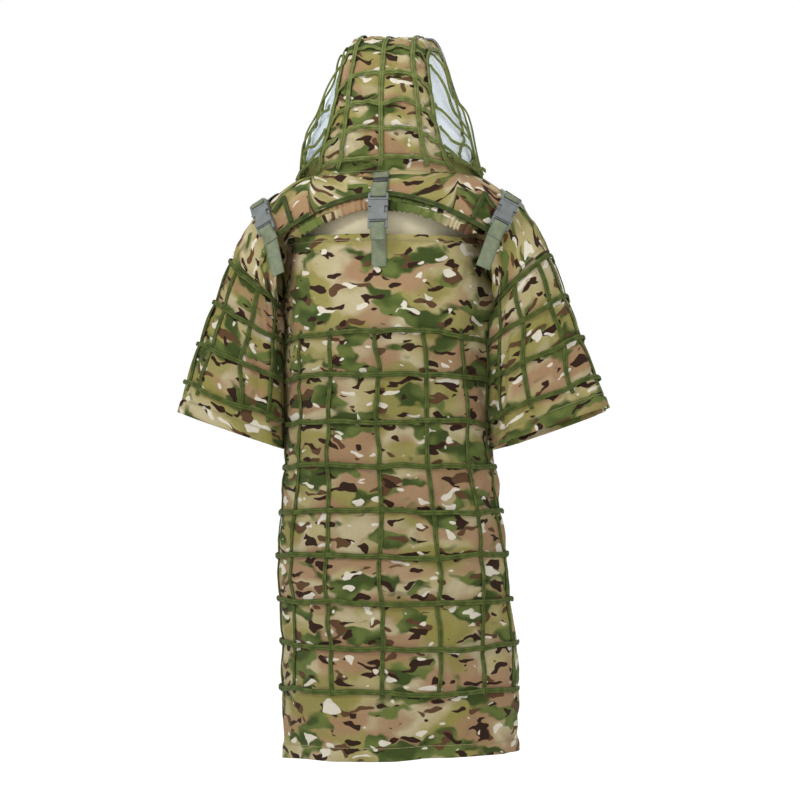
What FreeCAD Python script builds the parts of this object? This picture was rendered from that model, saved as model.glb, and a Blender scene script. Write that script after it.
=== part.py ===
"""Hooded sniper coat with a long back panel, net tapes and side-release buckles.

Millimetres. The origin is at the middle of the neck, level with the shoulder seams.
+Z is up, +Y is the wearer's back and +X is the wearer's left.
"""
import FreeCAD, Part
import math
import os

V = FreeCAD.Vector

# ---- driving dimensions ----
CLOTH = 3.0  # thickness of a fabric shell
TAPE_WIDTH = 8.0
TAPE_THICKNESS = 2.2
NET_PITCH = 74.0  # distance between net tapes
SEAM_GAP = 1.0  # clearance between pieces of different bodies
WEBBING = 25.0
STRAP_THICKNESS = 1.5

# Torso form under the back panel: height, half width, back depth, sideways centre.
TORSO = [
    (-30.0, 150.0, 122.0, 4.0),
    (-90.0, 170.0, 132.0, 8.0),
    (-263.0, 166.0, 134.0, 6.0),
    (-480.0, 174.0, 127.0, 2.0),
    (-600.0, 190.0, 132.0, -4.0),
    (-712.0, 194.0, 139.0, -6.0),
    (-862.0, 193.5, 146.0, -10.5),
    (-966.0, 194.5, 150.0, -14.0),
]
PANEL_TOP = -101.0
WAIST = -472.0
TAIL_HEM = -966.0
LINER_TOP = -52.0
LINER_BOTTOM = -200.0
LINER_DEPTH = 9.0  # how far the liner lies inside the torso form
FIRST_ROW = -261.0  # height of the first tape row on the back panel
ROW_COUNT = 9
LAST_ROW = FIRST_ROW - NET_PITCH * (ROW_COUNT - 1)
COLUMN_PLACES = [-0.85, -0.578, -0.295, 0.0, 0.295, 0.578, 0.85]  # shares of the way round to a side edge

# Shoulder rings from the middle to the sleeve seam: top point, bottom point, half depth.
SHOULDER = [
    (0.0, 28.0, 0.0, -230.0, 136.0),
    (80.0, 26.0, 80.0, -230.0, 128.0),
    (150.0, 9.0, 140.0, -226.0, 108.0),
    (215.0, -34.0, 170.0, -216.0, 90.0),
    (248.0, -76.0, 180.0, -209.0, 82.0),
    (270.0, -122.0, 184.0, -204.0, 78.0),
]
FULLNESS = 2.8  # exponent of the rings' superellipse
YOKE_ARC_MIDDLE = -38.0
YOKE_ARC_END = -101.0
YOKE_ARC_HALF = 180.0
YOKE_ARC_POWER = 1.75
NECK_HALF_WIDTH = 124.0
NECK_HALF_DEPTH = 92.0
RIDGE_ANGLE = 0.03  # yoke and bibs meet on the ridge of the shoulder, this far from its top
UNDERARM_ANGLE = 0.2  # and this far from the bottom of the underarm
BIB_BOTTOM = -170.0
BIB_START = 0.12  # share of the shoulder at which the bibs' inner edges lie
CASING_DROP = 10.0  # middle of the elastic casing below the yoke's arc
CHEST_HEIGHT = -130.0
CHEST_DEPTH = 139.0  # how far in front of the neck the chest buckle lies
SHOULDER_STRAP = [(0.66, 26.0), (0.62, 12.0), (0.58, -4.0), (0.55, -22.0), (0.52, -44.0), (0.5, -66.0)]
ADJUSTER_SPOT = (0.56, -16.0)
SIDE_STRAP_TURN = (92.0, 150.0)  # angles at its back end and at its front end
SIDE_STRAP_HEIGHT = (-246.0, -168.0)
TAPE_LIFT = 0.9  # clearance under a tape on the yoke
STRAP_LIFT = 3.2  # clearance under a shoulder strap, whose flat width spans the round shoulder
# Two short tapes at each end of the yoke's arc, as X and Z.
CROSS_TAPES = [
    [(167.0, -34.0), (175.0, -45.0), (183.0, -57.0)],
    [(167.0, -34.0), (159.0, -54.0), (151.0, -74.0)],
]

# Sleeve rings from the shoulder seam to the hem: outer point, inner point, half depth.
SLEEVE = [
    (270.0, -122.0, 184.0, -204.0, 78.0),
    (290.0, -180.0, 184.0, -250.0, 82.0),
    (314.0, -242.0, 183.0, -308.0, 85.0),
    (337.0, -306.0, 182.0, -372.0, 86.0),
    (368.0, -391.0, 181.0, -455.0, 87.0),
]
SLEEVE_ROWS = [0.03, 0.33, 0.61, 0.84]
SLEEVE_COLUMNS = [28.0, 62.0, 98.0, 136.0]  # degrees around the sleeve from its outer edge

# Hood: its middle line from the nape over the crown to the brim, as Y and Z.
HOOD_BASE = 13.0
HOOD_LINE = [
    (104.0, 13.0),
    (119.0, 75.0),
    (113.0, 145.0),
    (84.0, 208.0),
    (34.0, 243.0),
    (-40.0, 258.0),
    (-122.0, 270.0),
]
HOOD_PIVOT_Y = -30.0  # the middle line shrinks towards this place at the sides
HOOD_HALF_WIDTH = 156.0
HOOD_SIDE = 150.0  # the side nets end here
HOOD_SHOULDER = 0.33  # share of the hood's height that falls away at the rounded shoulders of its crown
HOOD_SHOULDER_START = 0.33  # where they start and end, as shares of the way to the side
HOOD_SHOULDER_END = 0.72
HOOD_FALL = 3.9  # how late the rest of the height falls away
HOOD_ROUND = 2.2  # how round the hood is, seen from above
SEAM_BASE = 118.0  # seam between the centre strip and a side net, at the nape
SEAM_CROWN = 72.0
GUSSET_END = 0.13  # share of the middle line that the gussets take
HOOD_ROW_HEIGHTS = [30.0, 74.0, 117.0, 165.0, 213.0]
HOOD_COLUMN_SHARES = [0.0, -0.64, 0.64, -0.95, 0.95]  # of the seam's distance
BRIM_WIDTH = 24.0
BRIM_HALF = 118.0

# Side-release buckle, in its own frame: U across, V along the strap, W off the body.
BUCKLE_WIDTH = 33.0
BUCKLE_THICKNESS = 9.0
SOCKET_LENGTH = 47.0
PLUG_HEAD = 12.0
PRONG_THICKNESS = 3.2
ADJUSTER_HALF_WIDTH = 16.0
ADJUSTER_HALF_LENGTH = 11.0
ADJUSTER_THICKNESS = 4.5
WEBBING_SLOT = 13.2  # half width of a slot that webbing passes through
PRONG_GAP = 0.7

os.makedirs("parts", exist_ok=True)


def save(name, *solids):
    """Write one node, made of one or more separate solids."""
    shape = solids[0] if len(solids) == 1 else Part.makeCompound(list(solids))
    shape.exportStep("parts/" + name + ".step")


def blend_rows(rows, x):
    """Values of a table at x, by straight lines between its rows. x is the first column."""
    ordered = sorted(rows)
    if x <= ordered[0][0]:
        return ordered[0][1:]
    for low, high in zip(ordered, ordered[1:]):
        if x <= high[0]:
            share = (x - low[0]) / (high[0] - low[0])
            return tuple(p + (q - p) * share for p, q in zip(low[1:], high[1:]))
    return ordered[-1][1:]


def torso_point(z, angle, offset=0.0):
    """Point of the torso form. angle is 0 at the middle of the back and 90 at the wearer's left."""
    half, depth, middle = blend_rows(TORSO, z)
    turn = math.radians(angle)
    return V(middle + (half + offset) * math.sin(turn), (depth + offset) * math.cos(turn), z)


def half_ring_wire(z, inner, outer, reach):
    """Closed strip section around the back of the torso at one height."""
    angles = [-reach + 2.0 * reach * i / 12 for i in range(13)]
    outside = [torso_point(z, angle, outer) for angle in angles]
    return strip_wire(outside, [torso_point(z, angle, inner) for angle in angles])


def torso_shell(top, bottom, inner, outer, reach=90.0):
    """Fabric shell around the back of the torso, between two heights."""
    stops = [row[0] for row in TORSO if bottom < row[0] < top]
    heights = [top] + stops + [bottom]
    wires = [half_ring_wire(z, inner, outer, reach) for z in heights]
    return Part.makeLoft(wires, True, True)


def torso_row(z, reach):
    """One net tape across the back, lying on the panel."""
    half = TAPE_WIDTH / 2
    inner = CLOTH + 0.3
    wires = [half_ring_wire(z + s, inner, inner + TAPE_THICKNESS, reach) for s in (half, -half)]
    return Part.makeLoft(wires, True, True)


def strip_wire(outside, inside):
    """Closed section of a shell, from the points of its outside and of its inside, given the same way."""
    out = Part.BSplineCurve()
    out.interpolate(outside)
    back = Part.BSplineCurve()
    back.interpolate(inside[::-1])
    first = Part.makeLine(out.EndPoint, back.StartPoint)
    last = Part.makeLine(back.EndPoint, out.StartPoint)
    return Part.Wire([out.toShape(), first, back.toShape(), last])


def shell_solid(sections):
    """Solid through shell sections that needn't be flat. Each is its outside and its inside points."""
    skin = Part.makeLoft([strip_wire(outside, inside) for outside, inside in sections], False, True)
    faces = list(skin.Faces)
    for outside, inside in (sections[0], sections[-1]):
        edges = []
        for points in (outside, inside):
            curve = Part.BSplineCurve()
            curve.interpolate(points)
            edges.append(curve.toShape())
        faces.append(Part.makeRuledSurface(edges[0], edges[1]))
    closed = Part.makeShell(faces)
    closed.sewShape()
    solid = Part.makeSolid(Part.Shell(closed.Faces))
    if solid.Volume < 0:
        solid.reverse()
    return solid


def ribbon(points, normals, width, thickness):
    """Flat tape through points, with its face along the normals."""
    wires = []
    for i, point in enumerate(points):
        before = points[max(i - 1, 0)]
        after = points[min(i + 1, len(points) - 1)]
        along = (after - before).normalize()
        across = along.cross(normals[i]).normalize()
        up = across.cross(along).normalize()
        left = point + across * (width / 2)
        right = point - across * (width / 2)
        corners = [left, right, right + up * thickness, left + up * thickness]
        wires.append(Part.makePolygon(corners + corners[:1]))
    return Part.makeLoft(wires, True, True)


def torso_column(top, bottom, angle_at):
    """One net tape down the back. angle_at gives its angle at a height."""
    heights = spread(top, bottom, 9)
    lift = CLOTH + 0.3 + TAPE_THICKNESS + 0.3
    points = [torso_point(z, angle_at(z), lift) for z in heights]
    normals = [V(math.sin(math.radians(angle_at(z))), math.cos(math.radians(angle_at(z))), 0) for z in heights]
    return ribbon(points, normals, TAPE_WIDTH, TAPE_THICKNESS)


def column_angle(place):
    """Angle of the tape that lies at this share of the way round to a side edge."""
    return lambda z: angle_at_share(z, place)


def angle_at_share(z, place):
    """Angle whose arc from the middle is this share of the arc to the side."""
    half, depth, _ = blend_rows(TORSO, z)
    steps = 60
    lengths = [0.0]
    for i in range(steps):
        one, two = math.radians(90.0 * i / steps), math.radians(90.0 * (i + 1) / steps)
        run = half * (math.sin(two) - math.sin(one))
        drop = depth * (math.cos(two) - math.cos(one))
        lengths.append(lengths[-1] + math.hypot(run, drop))
    wanted = abs(place) * lengths[-1]
    step = max(i for i in range(steps) if lengths[i] <= wanted)
    part = (wanted - lengths[step]) / (lengths[step + 1] - lengths[step])
    return math.copysign(90.0 * (step + part) / steps, place)


def ring_point(high, low, depth, angle, offset=0.0):
    """Point of a superellipse ring in the plane of high, low and Y. angle 0 is at high."""
    centre = (high + low) * 0.5
    arm = high - centre
    reach = arm.Length
    turn = math.radians(angle)
    c, s = math.cos(turn), math.sin(turn)
    power = 2.0 / FULLNESS
    up = math.copysign(abs(c) ** power, c) * (reach + offset) / reach
    side = math.copysign(abs(s) ** power, s) * (depth + offset)
    return centre + arm * up + V(0, side, 0)


def ring_wire(high, low, depth, offset):
    """Closed ring as one smooth curve that ends where it starts."""
    curve = Part.BSplineCurve()
    points = [ring_point(high, low, depth, 360.0 * i / 24, offset) for i in range(24)]
    curve.interpolate(points + points[:1])
    return Part.Wire([curve.toShape()])


def ring_of(row, side):
    """High point, low point and half depth of a table row, on one side of the body."""
    return V(side * row[0], 0, row[1]), V(side * row[2], 0, row[3]), row[4]


def tube(rows, offset):
    """Solid through rings."""
    wires = [ring_wire(high, low, depth, offset) for high, low, depth in rows]
    return Part.makeLoft(wires, True, False)


def shoulder_point(share, angle, offset=0.0):
    """Point of the shoulders. share is 0 in the middle and 1 at the left sleeve's seam."""
    rows = [(i / (len(SHOULDER) - 1.0),) + row for i, row in enumerate(SHOULDER)]
    high, low, depth = ring_of(blend_rows(rows, abs(share)), 1 if share >= 0 else -1)
    return ring_point(high, low, depth, angle, offset)


def shoulder_normal(share, angle):
    """Direction that points off the body at one place of the shoulders."""
    step = 0.01 if share < 0.99 else -0.01
    along = shoulder_point(share + step, angle) - shoulder_point(share, angle)
    turn = shoulder_point(share, angle + 2) - shoulder_point(share, angle - 2)
    normal = along.cross(turn).normalize()
    inside = shoulder_point(share, angle, -1.0) - shoulder_point(share, angle)
    return normal * -1 if normal.dot(inside) > 0 else normal


def angle_where(share, keep, turn, limit=180.0 - UNDERARM_ANGLE):
    """Largest angle down the back (turn 1) or the front (turn -1) at which keep still holds."""
    low, high = 0.0, limit
    if keep(shoulder_point(share, turn * high)):
        return high
    for _ in range(30):
        middle = (low + high) / 2
        if keep(shoulder_point(share, turn * middle)):
            low = middle
        else:
            high = middle
    return low


def on_shoulders(x, z, turn=1):
    """Share and angle of the shoulders' point that has this x and z."""
    low, high = 0.0, 1.0
    for _ in range(30):
        share = (low + high) / 2
        angle = angle_where(share, lambda point: point.z >= z, turn)
        if shoulder_point(share, turn * angle).x < abs(x):
            low = share
        else:
            high = share
    return math.copysign(share, x), turn * angle


def shoulder_patch(shares, first_angle, last_angle, inner, outer):
    """Fabric shell over the shoulders between two angles, which may differ at each share."""
    wires = []
    for share in shares:
        start, end = first_angle(share), last_angle(share)
        angles = [start + (end - start) * i / 10 for i in range(11)]
        outside = [shoulder_point(share, angle, outer) for angle in angles]
        wires.append(strip_wire(outside, [shoulder_point(share, angle, inner) for angle in angles]))
    return Part.makeLoft(wires, True, True)


def neck_angle(share, turn):
    """Angle at which a ring leaves the neck opening."""

    def inside_neck(point):
        return (point.x / NECK_HALF_WIDTH) ** 2 + (point.y / NECK_HALF_DEPTH) ** 2 < 1.0

    if not inside_neck(shoulder_point(share, 0.0)):
        return turn * RIDGE_ANGLE
    return turn * angle_where(share, inside_neck, turn, 90.0)


def yoke_arc(x, drop=0.0):
    """Height of the yoke's lower edge at the back."""
    share = min(abs(x) / YOKE_ARC_HALF, 1.0)
    return YOKE_ARC_MIDDLE + (YOKE_ARC_END - YOKE_ARC_MIDDLE) * share**YOKE_ARC_POWER - drop


def surface_tape(spots, lift, width, thickness):
    """Tape on the shoulders through spots of share and angle."""
    normals = [shoulder_normal(share, angle) for share, angle in spots]
    points = [shoulder_point(spot[0], spot[1]) + normal * lift for spot, normal in zip(spots, normals)]
    return ribbon(points, normals, width, thickness)


def arc_spots(drop, half, steps=24):
    """Places along the yoke's arc, drop below it, from one side of the back to the other."""
    xs = [-half + 2.0 * half * i / steps for i in range(steps + 1)]
    return [on_shoulders(x if abs(x) > 1 else 1.0, yoke_arc(x, drop)) for x in xs]


def spread(start, end, count):
    """Evenly spaced values from start to end."""
    return [start + (end - start) * i / (count - 1.0) for i in range(count)]


def largest_solid(shape):
    return max(shape.Solids, key=lambda solid: solid.Volume)


# ---- shoulders ----
FAR = 400.0


def on_yoke_back(point):
    return abs(point.x) >= YOKE_ARC_HALF or point.z >= yoke_arc(point.x)


def on_bib(point):
    return abs(point.x) >= YOKE_ARC_HALF or point.z >= BIB_BOTTOM


save(
    "yoke_back",
    shoulder_patch(
        spread(-1.0, 1.0, 41),
        lambda share: neck_angle(share, 1),
        lambda share: angle_where(share, on_yoke_back, 1),
        -CLOTH,
        0.0,
    ),
)
for name, side in (("left", 1), ("right", -1)):
    bib = shoulder_patch(
        [side * share for share in spread(BIB_START, 1.0, 19)],
        lambda share: neck_angle(share, -1),
        lambda share: -angle_where(share, on_bib, -1),
        -CLOTH,
        0.0,
    )
    save("front_bib_" + name, bib)

tapes = [surface_tape(arc_spots(-4.5, 172.0), TAPE_LIFT, TAPE_WIDTH, TAPE_THICKNESS)]
for side in (-1, 1):
    for line in CROSS_TAPES:
        spots = [on_shoulders(side * x, z) for x, z in line]
        tapes.append(surface_tape(spots, 2 * TAPE_LIFT + TAPE_THICKNESS, TAPE_WIDTH, TAPE_THICKNESS))
save("yoke_tapes", *tapes)

casing = surface_tape(arc_spots(CASING_DROP, 146.0), -6.4, 18.0, 2.4)
elastic = surface_tape(arc_spots(CASING_DROP, 142.0), -5.6, 10.0, 0.8)
save("vent_casing", casing.cut(elastic))
save("vent_elastic", elastic)

# ---- back panel, liner and tail ----
save("back_liner", torso_shell(LINER_TOP, LINER_BOTTOM, -LINER_DEPTH - 2, -LINER_DEPTH, 84.0))
save("back_panel", torso_shell(PANEL_TOP, WAIST + SEAM_GAP, 0.0, CLOTH, 88.0))
save("tail_panel", torso_shell(WAIST - SEAM_GAP, TAIL_HEM, 0.0, CLOTH, 90.0))

row_heights = [FIRST_ROW - NET_PITCH * i for i in range(ROW_COUNT)]
save("back_net_rows", *[torso_row(z, 84.0) for z in row_heights if z > WAIST])
save("tail_net_rows", *[torso_row(z, 88.0) for z in row_heights if z < WAIST])
columns = [column_angle(place) for place in COLUMN_PLACES]
upper_columns = [torso_column(FIRST_ROW + 8, WAIST + 3, at) for at in columns]
lower_columns = [torso_column(WAIST - 3, LAST_ROW - 4, at) for at in columns]
save("back_net_columns", *upper_columns)
save("tail_net_columns", *lower_columns)

# ---- sleeves ----


def sleeve_ring(share):
    """Sleeve ring between the seam, share 0, and the hem, share 1."""
    rows = [(i / (len(SLEEVE) - 1.0),) + row for i, row in enumerate(SLEEVE)]
    return blend_rows(rows, share)


def sleeve_rows_between(start, end, side):
    inner = [i / (len(SLEEVE) - 1.0) for i in range(len(SLEEVE))]
    shares = [start] + [s for s in inner if start < s < end] + [end]
    return [ring_of(sleeve_ring(share), side) for share in shares]


def lower_sleeve_seam(row, gap):
    """Move a ring away from the seam, along the sleeve."""
    return (row[0] + gap * 0.3, row[1] - gap, row[2], row[3] - gap, row[4])


def sleeve_tape_column(side, angle):
    lift = 0.3 + TAPE_THICKNESS + 0.3
    points = []
    normals = []
    for share in spread(0.02, 0.96, 9):
        high, low, depth = ring_of(sleeve_ring(share), side)
        point = ring_point(high, low, depth, angle, lift)
        around = ring_point(high, low, depth, angle + 2, lift) - ring_point(high, low, depth, angle - 2, lift)
        nearby = ring_of(sleeve_ring(share + 0.01), side)
        down = ring_point(nearby[0], nearby[1], nearby[2], angle, lift) - point
        normal = around.cross(down).normalize()
        if normal.dot(point - (high + low) * 0.5) < 0:
            normal = normal * -1
        points.append(point)
        normals.append(normal)
    return ribbon(points, normals, TAPE_WIDTH, TAPE_THICKNESS)


for name, side in (("left", 1), ("right", -1)):
    rings = sleeve_rows_between(0.0, 1.0, side)
    first = lower_sleeve_seam(SLEEVE[0], 2 * SEAM_GAP)
    rings[0] = ring_of(first, side)
    save("sleeve_" + name, tube(rings, 0.0).cut(tube(rings, -CLOTH)))
    bands = []
    back_half = Part.makeBox(2 * FAR, FAR, 2 * FAR + 300, V(-FAR, 4.0, -2 * FAR))
    for share in SLEEVE_ROWS:
        width = TAPE_WIDTH / 290.0
        start = max(share, 0.02)
        band_rings = sleeve_rows_between(start, start + width, side)
        full_band = tube(band_rings, 0.3 + TAPE_THICKNESS).cut(tube(band_rings, 0.3))
        bands.append(largest_solid(full_band.common(back_half)))
    save("sleeve_" + name + "_net_rows", *bands)
    strips = [sleeve_tape_column(side, angle) for angle in SLEEVE_COLUMNS]
    save("sleeve_" + name + "_net_columns", *strips)

# ---- hood ----


def hood_line(share):
    """Y and Z of the hood's middle line, 0 at the nape and 1 at the brim."""
    place = min(max(share, 0.0), 1.0) * (len(HOOD_LINE) - 1)
    first = min(int(place), len(HOOD_LINE) - 2)
    part = place - first
    four = [HOOD_LINE[min(max(first + i, 0), len(HOOD_LINE) - 1)] for i in (-1, 0, 1, 2)]

    def smooth(p, q, r, s):
        return q + part * ((r - p) + part * (2 * p - 5 * q + 4 * r - s + part * (3 * (q - r) + s - p))) / 2

    return smooth(*[point[0] for point in four]), smooth(*[point[1] for point in four])


def hood_rise(x):
    """Share of the hood's height that is left x from its middle."""
    place = abs(x) / HOOD_HALF_WIDTH
    turn = (place - HOOD_SHOULDER_START) / (HOOD_SHOULDER_END - HOOD_SHOULDER_START)
    turn = min(max(turn, 0.0), 1.0)
    shoulder = turn * turn * (3.0 - 2.0 * turn)
    return 1.0 - HOOD_SHOULDER * shoulder - (1.0 - HOOD_SHOULDER) * place**HOOD_FALL


def hood_point(x, share, offset=0.0):
    """Point of the hood x from its middle. The middle line shrinks towards the sides."""
    y, z = hood_line(share)
    rise = hood_rise(x)
    reach = (1.0 - (abs(x) / HOOD_HALF_WIDTH) ** HOOD_ROUND) ** (1.0 / HOOD_ROUND)
    point = V(x, HOOD_PIVOT_Y + reach * (y - HOOD_PIVOT_Y), HOOD_BASE + rise * (z - HOOD_BASE))
    off = (point - V(0, HOOD_PIVOT_Y, HOOD_BASE)).normalize()
    return point + off * offset


def hood_seam(share):
    """Distance of the strip's seam from the middle."""
    return SEAM_CROWN + (SEAM_BASE - SEAM_CROWN) * max(1.0 - share / 0.55, 0.0) ** 1.3


def hood_patch(side_at, places, shares, inner, outer):
    """Fabric shell on the hood. side_at gives x at a place across and a share along."""
    sections = []
    for place in places:
        outside = [hood_point(side_at(place, share), share, outer) for share in shares]
        inside = [hood_point(side_at(place, share), share, inner) for share in shares]
        sections.append((outside, inside))
    return shell_solid(sections)


def hood_tape(spots, lift, width, thickness):
    """Tape on the hood through spots of x and share."""
    points = []
    normals = []
    for x, share in spots:
        step = 2.0 if x < HOOD_SIDE - 6 else -2.0
        turn = 0.01 if share < 0.98 else -0.01
        across = (hood_point(x + step, share) - hood_point(x, share)) * (1 / step)
        along = (hood_point(x, share + turn) - hood_point(x, share)) * (1 / turn)
        normal = across.cross(along).normalize()
        if normal.dot(hood_point(x, share, 1.0) - hood_point(x, share)) < 0:
            normal = normal * -1
        normals.append(normal)
        points.append(hood_point(x, share) + normal * lift)
    return ribbon(points, normals, width, thickness)


def share_at_height(height):
    """Share of the middle line, on its way up from the nape, at which it reaches a height."""
    low, high = 0.0, 0.75
    for _ in range(30):
        middle = (low + high) / 2
        if hood_line(middle)[1] < height:
            low = middle
        else:
            high = middle
    return low


along_hood = spread(0.0, 1.0, 19)
strip = hood_patch(lambda place, share: place * hood_seam(share), spread(-1.0, 1.0, 17), along_hood, -CLOTH, 0.0)
save("hood_centre_panel", strip)
gussets = []
for name, side in (("left", 1), ("right", -1)):

    def side_at(place, share):
        """x between the seam, place 0, and the hood's side, place 1."""
        near = hood_seam(share) + 0.6
        return side * (near + (HOOD_SIDE - near) * place)

    across_net = spread(0.0, 1.0, 9)
    net = hood_patch(side_at, across_net, spread(GUSSET_END + 0.005, 1.0, 17), -CLOTH, 0.0)
    save("hood_side_net_" + name, net)
    gussets.append(hood_patch(side_at, across_net, spread(0.0, GUSSET_END, 5), -CLOTH, 0.0))
save("hood_gussets", *gussets)

hood_rows = []
for height in HOOD_ROW_HEIGHTS:
    share = share_at_height(height)
    reach = hood_seam(share) - 2
    hood_rows.append(hood_tape([(x, share) for x in spread(-reach, reach, 17)], 0.6, TAPE_WIDTH, TAPE_THICKNESS))
save("hood_net_rows", *hood_rows)
hood_columns = []
for part in HOOD_COLUMN_SHARES:
    spots = [(part * hood_seam(share), share) for share in spread(0.02, 0.9, 19)]
    hood_columns.append(hood_tape(spots, 1.2 + TAPE_THICKNESS, TAPE_WIDTH, TAPE_THICKNESS))
save("hood_net_columns", *hood_columns)

edge = [hood_point(x, 1.0) for x in spread(-BRIM_HALF, BRIM_HALF, 17)]
forward = V(0, -1, 0.45).normalize()
brim_points = [point + forward * (1.0 + BRIM_WIDTH / 2) for point in edge]
upward = [(point - V(0, point.y, HOOD_BASE + 60)).normalize() for point in edge]
brim = ribbon(brim_points, upward, BRIM_WIDTH, CLOTH)
wire_points = [point + forward * (BRIM_WIDTH - 2) + up * 0.8 for point, up in zip(edge, upward)]
brim_wire = ribbon(wire_points, upward, 1.4, 1.4)
save("hood_brim", brim.cut(brim_wire))
save("hood_brim_wire", brim_wire)

# ---- buckles and straps ----


def plate(u, v, w):
    """Box between the low and high ends given for each direction."""
    return Part.makeBox(u[1] - u[0], v[1] - v[0], w[1] - w[0], V(u[0], v[0], w[0]))


def across_plate(half, v, w):
    return plate((-half, half), v, w)


def band(path, thickness, width):
    """Strap of even thickness along a path of V and W, centred across."""
    left = []
    right = []
    for i, (v, w) in enumerate(path):
        sides = []
        for one, two in ((i - 1, i), (i, i + 1)):
            if one >= 0 and two < len(path):
                dv, dw = path[two][0] - path[one][0], path[two][1] - path[one][1]
                length = math.hypot(dv, dw)
                sides.append((-dw / length, dv / length))
        nv = sum(side[0] for side in sides) / len(sides)
        nw = sum(side[1] for side in sides) / len(sides)
        grow = thickness / 2 / (nv * nv + nw * nw)
        left.append(V(-width / 2, v + nv * grow, w + nw * grow))
        right.append(V(-width / 2, v - nv * grow, w - nw * grow))
    outline = left + right[::-1]
    return Part.Face(Part.makePolygon(outline + outline[:1])).extrude(V(width, 0, 0))


def buckle_pieces(upper_length, lower_length):
    """All pieces of one side-release buckle and its two straps, in the buckle's own frame."""
    half = BUCKLE_WIDTH / 2
    thick = BUCKLE_THICKNESS
    body = across_plate(half, (-33.0, 0.0), (0.0, thick))
    corners = [e for e in body.Edges if abs(e.tangentAt(e.FirstParameter).z) > 0.99]
    body = body.makeFillet(2.5, corners)
    body = body.fuse(across_plate(half, (-SOCKET_LENGTH, -32.0), (1.0, thick - 2.0)))
    body = body.cut(across_plate(12.5, (-25.0, 1.0), (2.0, 7.0)))
    for side in (-1, 1):
        body = body.cut(plate(sorted((side * 11.0, side * 20.0)), (-22.3, -10.0), (-1.0, thick + 1.0)))
    body = body.cut(across_plate(WEBBING_SLOT, (-40.0, -35.5), (-1.0, thick + 1.0)))
    head = across_plate(half, (1.0, 1.0 + PLUG_HEAD), (0.0, thick - 1.0))
    tips = [e for e in head.Edges if abs(e.tangentAt(e.FirstParameter).z) > 0.99 and e.BoundBox.YMax > 10]
    head = head.makeFillet(3.0, tips)
    head = head.cut(across_plate(WEBBING_SLOT, (4.5, 8.5), (-1.0, thick + 1.0)))
    head = head.fuse(across_plate(3.0, (-22.0, 1.0), (2.6, 6.4)))
    top = 1.0 - PRONG_GAP
    prongs = []
    for side in (-1, 1):
        outline = [(8.2, top), (11.4, top), (11.6, -10.4), (15.8, -10.9), (15.9, -16.0), (13.0, -21.4), (9.2, -21.4)]
        points = [V(side * u, v, 2.9) for u, v in outline]
        prongs.append(Part.Face(Part.makePolygon(points + points[:1])).extrude(V(0, 0, PRONG_THICKNESS)))
    low_w = -0.4 - STRAP_THICKNESS / 2
    high_w = thick - 0.4 + STRAP_THICKNESS / 2
    step_w = low_w + STRAP_THICKNESS + 0.3
    upper_path = [(upper_length, low_w), (6.5, low_w), (6.5, high_w), (15.0, high_w), (26.0, step_w), (34.0, step_w)]
    upper = band(upper_path, STRAP_THICKNESS, WEBBING)
    lower_path = [(-v - 31.2, w) for v, w in upper_path[1:]]
    lower_path = [(-lower_length, low_w)] + lower_path
    lower = band(lower_path, STRAP_THICKNESS, WEBBING)
    return {"socket": body, "plug": head, "prong_right": prongs[0], "prong_left": prongs[1],
            "upper_strap": upper, "lower_strap": lower}


def place(shape, origin, up, normal):
    """Put a shape of the buckle's own frame on the garment."""
    w = V(normal).normalize()
    v = (up - w * up.dot(w)).normalize()
    u = v.cross(w)
    matrix = FreeCAD.Matrix(u.x, v.x, w.x, origin.x, u.y, v.y, w.y, origin.y, u.z, v.z, w.z, origin.z, 0, 0, 0, 1)
    return shape.transformGeometry(matrix)


def save_buckle(name, origin, up, normal, upper_length, lower_length):
    for piece, shape in buckle_pieces(upper_length, lower_length).items():
        save(name + "_" + piece, place(shape, origin, up, normal))


BUCKLE_LIFT = 9.0  # from the shoulder surface to the back of a buckle, over the tapes


def on_back(x, z):
    """Point and direction off the body at one place of the yoke's back."""
    share, angle = on_shoulders(x, z)
    return shoulder_point(share, angle), shoulder_normal(share, angle)


spot, normal = on_back(1.0, -51.0)
middle_normal = V(0, normal.y, normal.z).normalize()
middle_origin = V(0, spot.y, spot.z) + middle_normal * BUCKLE_LIFT
save_buckle("centre_buckle", middle_origin, V(0, 0, 1), middle_normal, 42.0, 108.0)
for name, side in (("left", 1), ("right", -1)):
    spot, normal = on_back(side * 198.0, -72.0)
    above, _ = on_back(side * 204.0, -54.0)
    up = (above - spot).normalize()
    save_buckle(name + "_buckle", spot + normal * BUCKLE_LIFT + up * SOCKET_LENGTH / 2, up, normal, 36.0, 108.0)

chest_origin = V(17.0, -CHEST_DEPTH, CHEST_HEIGHT)
save_buckle("chest_buckle", chest_origin, V(1, 0, 0), V(0, -1, 0), 76.0, 110.0)



def adjuster():
    """Ladder lock with two slots, in a buckle's own frame."""
    ends = (-ADJUSTER_HALF_LENGTH, ADJUSTER_HALF_LENGTH)
    lock = across_plate(ADJUSTER_HALF_WIDTH, ends, (0.0, ADJUSTER_THICKNESS))
    for slot in ((-7.6, -3.4), (3.4, 7.6)):
        lock = lock.cut(across_plate(WEBBING_SLOT, slot, (-1.0, ADJUSTER_THICKNESS + 1.0)))
    return lock


shoulder_straps = []
adjusters = []
for side in (-1, 1):
    spots = [(side * share, angle) for share, angle in SHOULDER_STRAP]
    shoulder_straps.append(surface_tape(spots, STRAP_LIFT, WEBBING, STRAP_THICKNESS))
    share, angle = ADJUSTER_SPOT
    spot = shoulder_point(side * share, angle)
    normal = shoulder_normal(side * share, angle)
    nearby = shoulder_point(side * share, angle + 4)
    over_strap = spot + normal * (STRAP_LIFT + STRAP_THICKNESS + 0.5)
    adjusters.append(place(adjuster(), over_strap, nearby - spot, normal))
save("shoulder_straps", *shoulder_straps)
save("shoulder_adjusters", *adjusters)

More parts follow.
